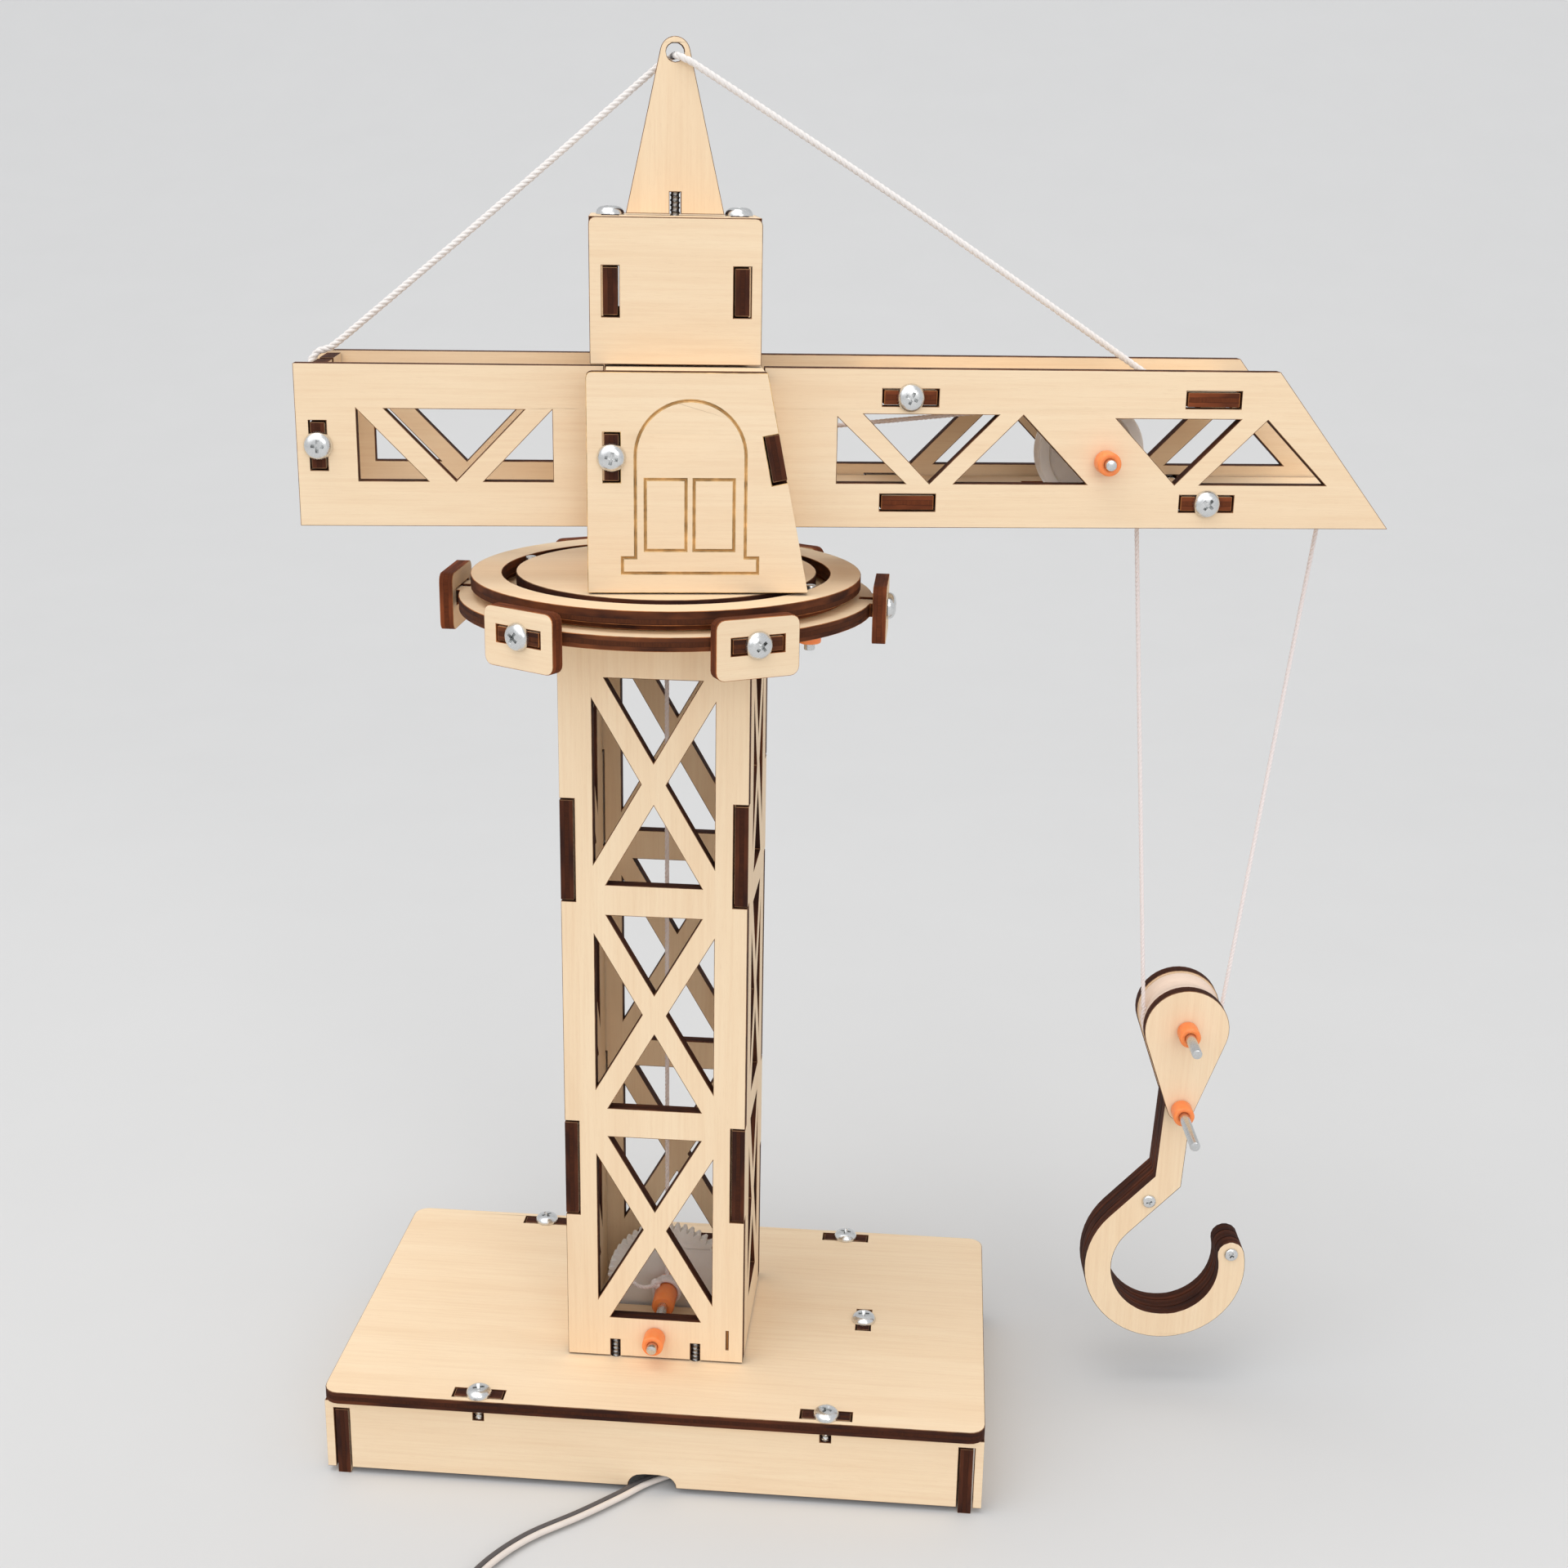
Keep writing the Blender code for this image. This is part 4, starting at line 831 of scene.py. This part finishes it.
def place_screw(name, mesh, seat, way, body, turn):
    """seat is the point on the plate's face under the head, and way points out of the plate."""
    way = Vector(way).normalized()
    turned = way.to_track_quat("Z", "Y").to_matrix().to_4x4() @ Matrix.Rotation(math.radians(turn), 4, "Z")
    piece = bpy.data.objects.new(name, mesh)
    piece.matrix_world = Matrix.Translation(seat) @ turned
    bpy.context.scene.collection.objects.link(piece)
    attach(piece, body)


def make_screws():
    steel = bright_steel("screw_steel", (0.80, 0.81, 0.81), 0.22)
    # The screws in the foot and mast slots get a darker steel: painted shade for the slots they sit in.
    shaded_steel = bright_steel("foot_screw_steel", (0.36, 0.35, 0.34), 0.36)
    pan = screw_mesh("pan_screw", 2.5, 1.55, 1.15, 8.0)
    small = screw_mesh("small_screw", 1.45, 0.75, 0.75, 6.5, countersunk=True)
    grub = screw_mesh("foot_screw", 2.5, 1.4, 0.95, 8.6)
    for mesh, look in ((pan, steel), (small, steel), (grub, shaded_steel)):
        mesh.materials.append(look)
    turns = [18, 62, 35, 80, 5, 47, 28, 71, 12, 55, 40, 86, 23]
    turns += [66, 9, 50, 33, 77, 15, 59, 2, 44, 30, 73, 19, 64]
    turns = iter(turns * 2)
    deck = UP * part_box("base_top_plate")[1].z
    for i, (x, y) in enumerate(((-32.2, -33.0), (35.2, -33.0), (-32.2, 34.8), (35.2, 34.8))):
        place_screw(f"base_screw_{i + 1}", pan, tower(x, y, 0) + deck, UP, "tower", next(turns))
    place_screw("rib_screw", pan, tower(40.8, 1.4, 0) + deck, UP, "tower", next(turns))
    for i in range(6):
        turn = math.radians(60 * i)
        out = Vector((math.cos(turn), math.sin(turn), 0))
        seat = tower(0, 0, CLAMP_Z) + out * CLAMP_FACE * MM
        place_screw(f"clamp_screw_{i + 1}", pan, seat, out, "tower", next(turns))
    for i, (x, z) in enumerate(((END_PLATE_X, 199.8), (42.6, 208.8), (96.9, 190.3))):
        for word, face in (("front", -1), ("rear", 1)):
            seat = upper(x, face * JIB_FACE, z)
            place_screw(f"jib_{word}_screw_{i + 1}", pan, seat, SIDE * face, "upperworks", next(turns))
    for word, face in (("front", -1), ("rear", 1)):
        seat = upper(-9.85, face * CABIN_FACE, 199.3)
        place_screw(f"cabin_{word}_screw", pan, seat, SIDE * face, "upperworks", next(turns))
    for i, x in enumerate((-9.9, 12.8)):
        place_screw(f"head_screw_{i + 1}", pan, upper(x, 0, HEAD_TOP), UP, "upperworks", next(turns))
    place_screw("mast_screw", grub, upper(MAST_X, 0, HEAD_UNDER), -UP, "upperworks", next(turns))
    for i, x in enumerate((-8.0, 8.0)):
        for word, y in (("front", -16.25), ("rear", 16.25)):
            place_screw(f"foot_{word}_screw_{i + 1}", grub, tower(x, y, FOOT_TOP), -UP, "tower", next(turns))
    for i, (x, z) in enumerate(((-4.53, 44.4), (13.33, 32.5))):
        place_screw(f"hook_screw_{i + 1}", small, block(x, -HOOK_FACE, z), -BLOCK_SIDE, "hook", next(turns))


def collar_profile(start, end):
    r, bore, c = COLLAR_RADIUS, AXLE, 0.35
    half = [(bore, start + c), (bore + c, start), (r - c, start), (r - 0.1, start + 0.1), (r, start + c)]
    return half + mirrored(half, start, end)


def make_pins():
    steel = bright_steel("pin_steel")
    orange = orange_plastic()
    jib_out, block_out, tower_out = 14.05, 6.95, 17.8
    rows = (
        ("jib_pulley_axle", upper(WHEEL_X, 0, WHEEL_Z), SIDE, jib_out, 5.0, 5.0, "upperworks"),
        ("guide_axle", upper(GUIDE_X, 0, GUIDE_Z), SIDE, jib_out, 5.0, 5.0, "upperworks"),
        ("block_axle", block(0, 0, BLOCK_Z), BLOCK_SIDE, block_out, 5.0, 11.4, "block"),
        ("hook_pin", block(0, 0, HOOK_PIN_Z), BLOCK_SIDE, block_out, 5.0, 16.5, "block"),
        ("winch_axle", tower(0, 0, WINCH_Z), BACK, tower_out, 5.2, 5.2, "winch"),
    )
    for node_name, centre, way, out, behind, ahead, body in rows:
        profile = rounded_rod(AXLE, -out - ahead, out + behind)
        rod = turned_mesh(node_name + "_rod", profile, centre, way, 32)
        add_piece(node_name + "_rod", rod, body, "steel", steel, stands_for=(node_name,))
        for word, start in (("front", -out - COLLAR), ("rear", out)):
            profile = collar_profile(start, start + COLLAR)
            mesh = turned_mesh(f"{node_name}_{word}_collar", profile, centre, way, 48, True, 60)
            add_piece(f"{node_name}_{word}_collar", mesh, body, "steel", orange)
    for i, turn in enumerate((-19.0, 161.0)):
        turn = math.radians(turn)
        centre = tower(RING_PIN_RADIUS * math.cos(turn), RING_PIN_RADIUS * math.sin(turn), 0)
        rod = turned_mesh(f"ring_pin_{i + 1}_rod", rounded_rod(AXLE, 163.4, 175.4), centre, UP, 32)
        add_piece(f"ring_pin_{i + 1}_rod", rod, "tower", "steel", steel, stands_for=(f"ring_pin_{i + 1}",))
        profile = collar_profile(164.7, 168.5)
        mesh = turned_mesh(f"ring_pin_{i + 1}_collar", profile, centre, UP, 48, True, 60)
        add_piece(f"ring_pin_{i + 1}_collar", mesh, "tower", "steel", orange)
    drum = [(AXLE, -6.8), (2.05, -6.9), (2.3, -6.6), (2.3, -1.6), (2.1, -1.2)]
    drum += [(2.1, 1.0), (2.5, 1.4), (2.5, 2.0), (AXLE, 2.1)]
    mesh = turned_mesh("winch_drum", drum, tower(0, 0, WINCH_Z), BACK, 48, True, 50)
    add_piece("winch_drum", mesh, "winch", "steel", orange)


def make_wheels():
    milky = milky_plastic()
    rim, groove, half = WHEEL_RIM, WHEEL_GROOVE, 2.6
    profile = [(BORE, -half), (3.0, -half), (3.3, -1.6), (7.5, -1.6), (7.9, -half), (rim - 0.3, -half)]
    profile += [(rim, -half + 0.3), (rim, -1.8), (groove + 0.35, -0.7)]
    profile += [(groove, 0), *mirrored(profile)]
    mesh = turned_mesh("jib_sheave", profile, upper(WHEEL_X, 0, WHEEL_Z), SIDE, 96, True)
    add_piece("jib_sheave", mesh, "jib_pulley", "pale_plastic", milky, stands_for=("jib_pulley",))
    half, rim, groove = 3.85, BLOCK_RIM, BLOCK_GROOVE
    profile = [(BORE, -half), (rim - 0.2, -half), (rim, -half + 0.2), (rim, -2.4)]
    profile += [(groove + 0.3, -1.5), (groove, -0.9)]
    profile += mirrored(profile)
    mesh = turned_mesh("block_sheave", profile, block(0, 0, BLOCK_Z), BLOCK_SIDE, 96, True)
    add_piece("block_sheave", mesh, "block_pulley", PLY_SLOT, turned_wood(), stands_for=("block_pulley",))
    coat_node("winch_gear", milky, 0.12)
    boss = [(BORE, 1.1), (3.4, 1.1), (3.6, 1.3), (3.6, 3.0), (3.3, 3.3), (BORE, 3.3)]
    mesh = turned_mesh("winch_gear_boss", boss, tower(0, 4.0, WINCH_Z), BACK, 48, True)
    add_piece("winch_gear_boss", mesh, "winch", "pale_plastic", milky)
    coat_node("turntable_hub", milky, 0.15)


def coat_node(name, look, width):
    """Gives a node that keeps its CAD shape one look and bevels of that width."""
    thing = frame["nodes"][name]
    thing.data.materials.clear()
    thing.data.materials.append(look)
    add_weld(thing)
    bevel = thing.modifiers.new("bevel", "BEVEL")
    bevel.width = width * MM
    bevel.segments = 2
    bevel.limit_method = "ANGLE"
    bevel.angle_limit = math.radians(30)


def make_drive():
    steel = bright_steel("motor_can", (0.62, 0.62, 0.61), 0.3)
    brass = bright_steel("worm_brass", (0.75, 0.57, 0.30), 0.28)
    low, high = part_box("worm")
    centre = (low + high) / 2
    points, faces = [], []
    around, pitch, start, end = 28, 1.57, -7.8, 7.8
    rows = 110
    for i in range(rows + 1):
        x = start + (end - start) * i / rows
        fade = min(1.0, (x - start) / 0.8, (end - x) / 0.8)
        for k in range(around):
            turn = 2 * math.pi * k / around
            phase = (x / pitch + k / around) % 1.0
            crest = min(1.0, max(0.0, 1.6 - abs(phase - 0.5) / 0.17))
            r = 1.45 + 0.92 * crest * fade
            there = Vector((AXIS.x + x * MM, centre.y, centre.z))
            points.append(there + Vector((0, math.cos(turn), math.sin(turn))) * r * MM)
    skin(faces, 0, rows, around)
    mesh = mesh_of("worm_screw", points, faces, 45)
    add_piece("worm_screw", mesh, "tower", "steel", brass, stands_for=("worm",))
    spot = Vector((AXIS.x, centre.y, centre.z))
    shaft = turned_mesh("worm_shaft", rounded_rod(0.75, 7.7, 18.6, 0.15), spot, RIGHT, 24)
    add_piece("worm_shaft", shaft, "tower", "steel", steel)
    coat_node("motor", steel, 0.5)
    near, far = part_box("motor")
    profile = [(0.85, -0.25), (2.0, -0.25), (2.2, -0.05), (2.2, 0.0), (0.85, 0.0)]
    spot = Vector((near.x, centre.y, centre.z))
    boss = turned_mesh("motor_bush", profile, spot, RIGHT, 40, True)
    add_piece("motor_bush", boss, "tower", "steel", brass)
    profile = [(0, -0.01), (4.2, -0.01), (4.2, 0.15), (3.9, 0.4), (0, 0.45)]
    spot = Vector((far.x, centre.y, centre.z))
    cap = turned_mesh("motor_end_cap", profile, spot, RIGHT, 40)
    white = wire_skin("end_cap_plastic", (0.75, 0.75, 0.72))
    add_piece("motor_end_cap", cap, "tower", "white_plastic", white)


# Strings


def make_strings():
    white = cotton("pendant_cotton", (0.92, 0.89, 0.87), (0.74, 0.69, 0.66))
    pink = cotton("hoist_cotton", (0.93, 0.86, 0.84), (0.80, 0.70, 0.68))
    hole_z = 265.8
    behind = PLY / 2 + PENDANT / 2 + 0.3
    knots = [
        (PENDANT_X, 0, 205.95),
        (PENDANT_X, 0, 210.05),
        (PENDANT_X - 3.6, -0.6, 212.25),
        (45.0, -1.4, 239.5),
        (MAST_X + 2.6, -behind - 0.3, hole_z - 1.5),
        (MAST_X + 0.5, -behind, hole_z - 0.6),
        (MAST_X, 0, hole_z - 0.5),
        (MAST_X - 0.5, behind, hole_z - 0.6),
        (MAST_X - 2.6, behind + 0.3, hole_z - 2.0),
        (-30.0, 1.2, 239.4),
        (END_PLATE_X + 3.6, 0.3, 217.3),
        (END_PLATE_X + 1.0, 0, 215.3),
        (END_PLATE_X - 1.3, 0, 214.6),
        (END_PLATE_X - 2.6, 0, 213.0),
        (END_PLATE_X - 2.7, 0, 209.5),
    ]
    route = [upper(*p) for p in smooth_route(knots, 3.0)]
    mesh = rope_mesh("pendant_rope", route, PENDANT, PENDANT_LAY)
    add_piece("pendant_rope", mesh, "upperworks", "cotton_cord", white, stands_for=("pendant_cord",))
    for word, x, z in (("front", PENDANT_X, 205.2), ("rear", END_PLATE_X - 2.6, 208.6)):
        mesh = knot_mesh(f"pendant_{word}_knot", upper(x, 0, z), AHEAD, UP, 0.95, 0.5)
        add_piece(f"pendant_{word}_knot", mesh, "upperworks", "cotton_cord", white)

    over = AXLE + STRING / 2 + 0.1
    around = WHEEL_GROOVE + STRING / 2 + 0.1
    climb = math.degrees(math.atan2(WHEEL_Z + around - GUIDE_Z - over, WHEEL_X - GUIDE_X))
    points = [(0, 0, 27.6), (0, 0, 60), (0, 0, 120), (0, 0, 180), ((GUIDE_X - over) / 2, 0, 192)]
    points += [(x, 0, z) for x, z in arc(GUIDE_X, GUIDE_Z, over, 180, 90 + climb, 8)]
    points += [(x, 0, z) for x, z in arc(WHEEL_X, WHEEL_Z, around, 90 + climb, 2, 16)]
    route = [upper(*p) for p in points]
    mesh = rope_mesh("hoist_line", route, STRING, STRING_LAY, spacing=0.4)
    add_piece("hoist_line", mesh, "upperworks", "cotton_cord", pink, stands_for=("hoist_string",))

    block_side = BLOCK_GROOVE + STRING / 2 + 0.2
    falls = (
        ("inner_fall", "hoist_fall_inner", (WHEEL_X + around, 197.0), -block_side),
        ("outer_fall", "hoist_fall_outer", (ANCHOR_X, 192.75), block_side),
    )
    low_z = BLOCK_Z + 2.0
    for name, node_name, (top_x, top_z), low_x in falls:
        top, bottom = upper(top_x, 0, top_z), block(low_x, 0, low_z)
        mesh = rope_mesh(name, [top, (top + bottom) / 2, bottom], STRING, STRING_LAY, spacing=0.4)
        piece = add_piece(name, mesh, "upperworks", "cotton_cord", pink, stands_for=(node_name,))
        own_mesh(piece)
    loop = [block(x, 0, z) for x, z in arc(0, BLOCK_Z, block_side, 165, 375, 40)]
    mesh = rope_mesh("block_turn", loop, STRING, STRING_LAY, spacing=0.4)
    add_piece("block_turn", mesh, "block", "cotton_cord", pink)
    mesh = knot_mesh("anchor_knot", upper(ANCHOR_X, 0, 193.4), AHEAD, SIDE, 1.0, 0.42)
    add_piece("anchor_knot", mesh, "upperworks", "cotton_cord", pink)

    turns, per_turn, radius = 9, 24, 2.2 + STRING / 2
    coil = []
    for i in range(turns * per_turn + 1):
        turn = 2 * math.pi * i / per_turn
        y = 0.95 - 2.0 * abs(((i / per_turn / 3.0) % 2) - 1)
        coil.append(tower(radius * math.cos(turn), y, WINCH_Z + radius * math.sin(turn)))
    mesh = rope_mesh("drum_turns", coil, STRING, STRING_LAY, spacing=0.4)
    add_piece("drum_turns", mesh, "winch", "cotton_cord", pink)
    tail = [(-1.9, -1.6, 26.2), (-2.7, -2.8, 26.6), (-3.9, -4.0, 26.9)]
    tail += [(-5.2, -4.9, 27.6), (-6.3, -5.3, 28.7)]
    mesh = rope_mesh("drum_tail", [tower(*p) for p in smooth_route(tail, 0.5)], STRING, STRING_LAY)
    add_piece("drum_tail", mesh, "winch", "cotton_cord", pink)
    mesh = knot_mesh("drum_knot", tower(-2.0, -1.8, 26.6), AHEAD, UP, 0.8, 0.42)
    add_piece("drum_knot", mesh, "winch", "cotton_cord", pink)


# Cable

CABLE_ON_TABLE = (
    (48.0, -14.5),
    (39.0, -20.0),
    (27.0, -23.0),
    (11.4, -26.0),
    (1.6, -31.5),
    (-4.3, -37.5),
    (-11.0, -44.0),
    (-19.0, -51.0),
    (-24.5, -58.5),
    (-28.0, -67.0),
    (-30.5, -77.0),
    (-31.9, -87.0),
    (-32.4, -92.0),
)
COIL_CENTRE = (-50.0, -92.0)


def coil_route():
    """The coil's turns, side by side and on each other, wound clockwise from the cable's end."""
    outer, inner, pitch = 14.85, 12.3, 2.42
    per_turn, last_steps = 36, 16
    second, third = CABLE_REST + pitch, CABLE_REST + 2 * pitch
    levels = [(outer, CABLE_REST), (inner, CABLE_REST), (inner, second), (outer, second), (outer, third)]

    def at(radius, step, z):
        turn = -2 * math.pi * step / per_turn
        return COIL_CENTRE[0] + radius * math.cos(turn), COIL_CENTRE[1] + radius * math.sin(turn), z

    found = []
    before_r, before_z = 17.6, CABLE_REST
    for radius, z in levels:
        for i in range(1, per_turn + 1):
            share = min(1.0, i / (per_turn * 0.3))
            ease = share * share * (3 - 2 * share)
            found.append(at(before_r + (radius - before_r) * ease, i, before_z + (z - before_z) * ease))
        before_r, before_z = radius, z
    return found + [at(before_r, i, before_z) for i in range(1, last_steps + 1)]


def make_cable():
    pale = wire_skin("pale_wire", (0.80, 0.72, 0.66))
    grey = wire_skin("grey_wire", (0.10, 0.09, 0.09))
    plug_low, plug_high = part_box("cable_plug")
    plug = (plug_low + plug_high) / 2
    knots = [(43.9, 4.0, 7.0), (48.5, 3.4, 5.8), (51.5, -5.0, 1.8)]
    knots += [(x, y, CABLE_REST) for x, y in CABLE_ON_TABLE]
    lead = [tower(*p) for p in smooth_route(knots, 2.0)]
    turns = [tower(*p) for p in coil_route()]
    last = turns[-1]
    mouth = Vector((plug.x, plug_high.y, plug.z))
    rising = Vector((last.x - 1.5 * MM, last.y + 2.0 * MM, 5.0 * MM))
    falling = Vector((mouth.x + 0.2 * MM, mouth.y + 1.6 * MM, 2.6 * MM))
    end = smooth_route([last, rising, falling, mouth + Vector((0, 0.1, 0)) * MM], 1.0 * MM)
    route = evenly(lead + turns + end[1:], 1.3 * MM)
    points, faces, split = [], [], 0
    level = []
    for point, side, over in frames_along(route, (0, 1, 0)):
        ahead = side.cross(over)
        flat = UP.cross(ahead)
        flat = flat.normalized() if flat.length > 0.2 else side
        level.append((point, flat, ahead.cross(flat)))
    for sign in (1, -1):
        centres = [(point + side * sign * CABLE * 0.25 * MM, side, over) for point, side, over in level]
        tube_geometry(centres, CABLE * 0.252 * MM, 12, points, faces)
        split = split or len(faces)
    mesh = mesh_of("supply_cable", points, faces, 60)
    cable = add_piece("supply_cable", mesh, "tower", "cable", pale, grey, stands_for=("cable", "cable_coil"))
    for i, face in enumerate(mesh.polygons):
        face.material_index = 0 if i < split else 1
    housing = make_plug(plug_low, plug_high)


def make_plug(low, high):
    """A small two-way connector housing: rounded, with two sockets in its far end and a latch on top."""
    shape = bmesh.new()
    bmesh.ops.create_cube(shape, size=1.0)
    middle = (low + high) / 2
    bmesh.ops.scale(shape, vec=high - low, verts=shape.verts)
    bmesh.ops.translate(shape, vec=middle, verts=shape.verts)
    mesh = bpy.data.meshes.new("plug_block")
    shape.to_mesh(mesh)
    shape.free()
    cutters = []
    for sign in (-1, 1):
        x, wide = middle.x + sign * 1.35 * MM, 0.7 * MM
        cutters.append(box_cutter("socket_cut", x, middle.z, wide, wide, low.y - 1 * MM, low.y + 3.5 * MM))
    start, end = low.y + 1.2 * MM, high.y - 2.2 * MM
    cutters.append(box_cutter("latch_cut", middle.x, high.z, 1.1 * MM, 0.5 * MM, start, end))
    block = carved(mesh, cutters, "plug_cutting")
    block.name = "cable_connector"
    white = wire_skin("connector_white", (0.86, 0.85, 0.82))
    piece = add_piece("cable_connector", block, "tower", "white_plastic", white, stands_for=("cable_plug",))
    bevel = piece.modifiers.new("bevel", "BEVEL")
    bevel.width = 0.3 * MM
    bevel.segments = 3
    bevel.limit_method = "ANGLE"
    return piece


REPLACED_PLATES = ("cabin_front_panel", "cabin_rear_panel", "tower_front_panel", "block_pulley")


def main():
    make_camera()
    make_cable()
    make_studio()
    looks = (plywood_face(), charred_edge(), scorched_rim(), engraved_line())
    face, edge, _, line = looks
    red_edge = charred_edge("reddened_edge", (0.085, 0.024, 0.011), (0.24, 0.062, 0.022))
    ring_edge = charred_edge("ring_edge", (0.040, 0.015, 0.010), (0.165, 0.050, 0.019))
    ring_rim = scorched_rim("toasted_rim", (0.42, 0.15, 0.045))
    gold_rim = scorched_rim("golden_rim", (0.74, 0.47, 0.20))
    make_cabin_panels((face, edge, gold_rim, line))
    make_tower_front(looks)
    for name in plywood_nodes():
        if name not in REPLACED_PLATES:
            mine = looks
            if name.startswith(("ring_clamp", "jib_top", "jib_floor")):
                mine = (face, red_edge, ring_rim)
            elif name.startswith("ring_"):
                mine = (face, ring_edge, ring_rim)
            elif name.startswith("hook_"):
                mine = (face, edge, edge)
            paint_plate(frame["nodes"][name], frame["nodes"][name], mine)
    paint_hook_seam_shade()
    make_screws()
    make_pins()
    make_wheels()
    make_drive()
    make_strings()


main()
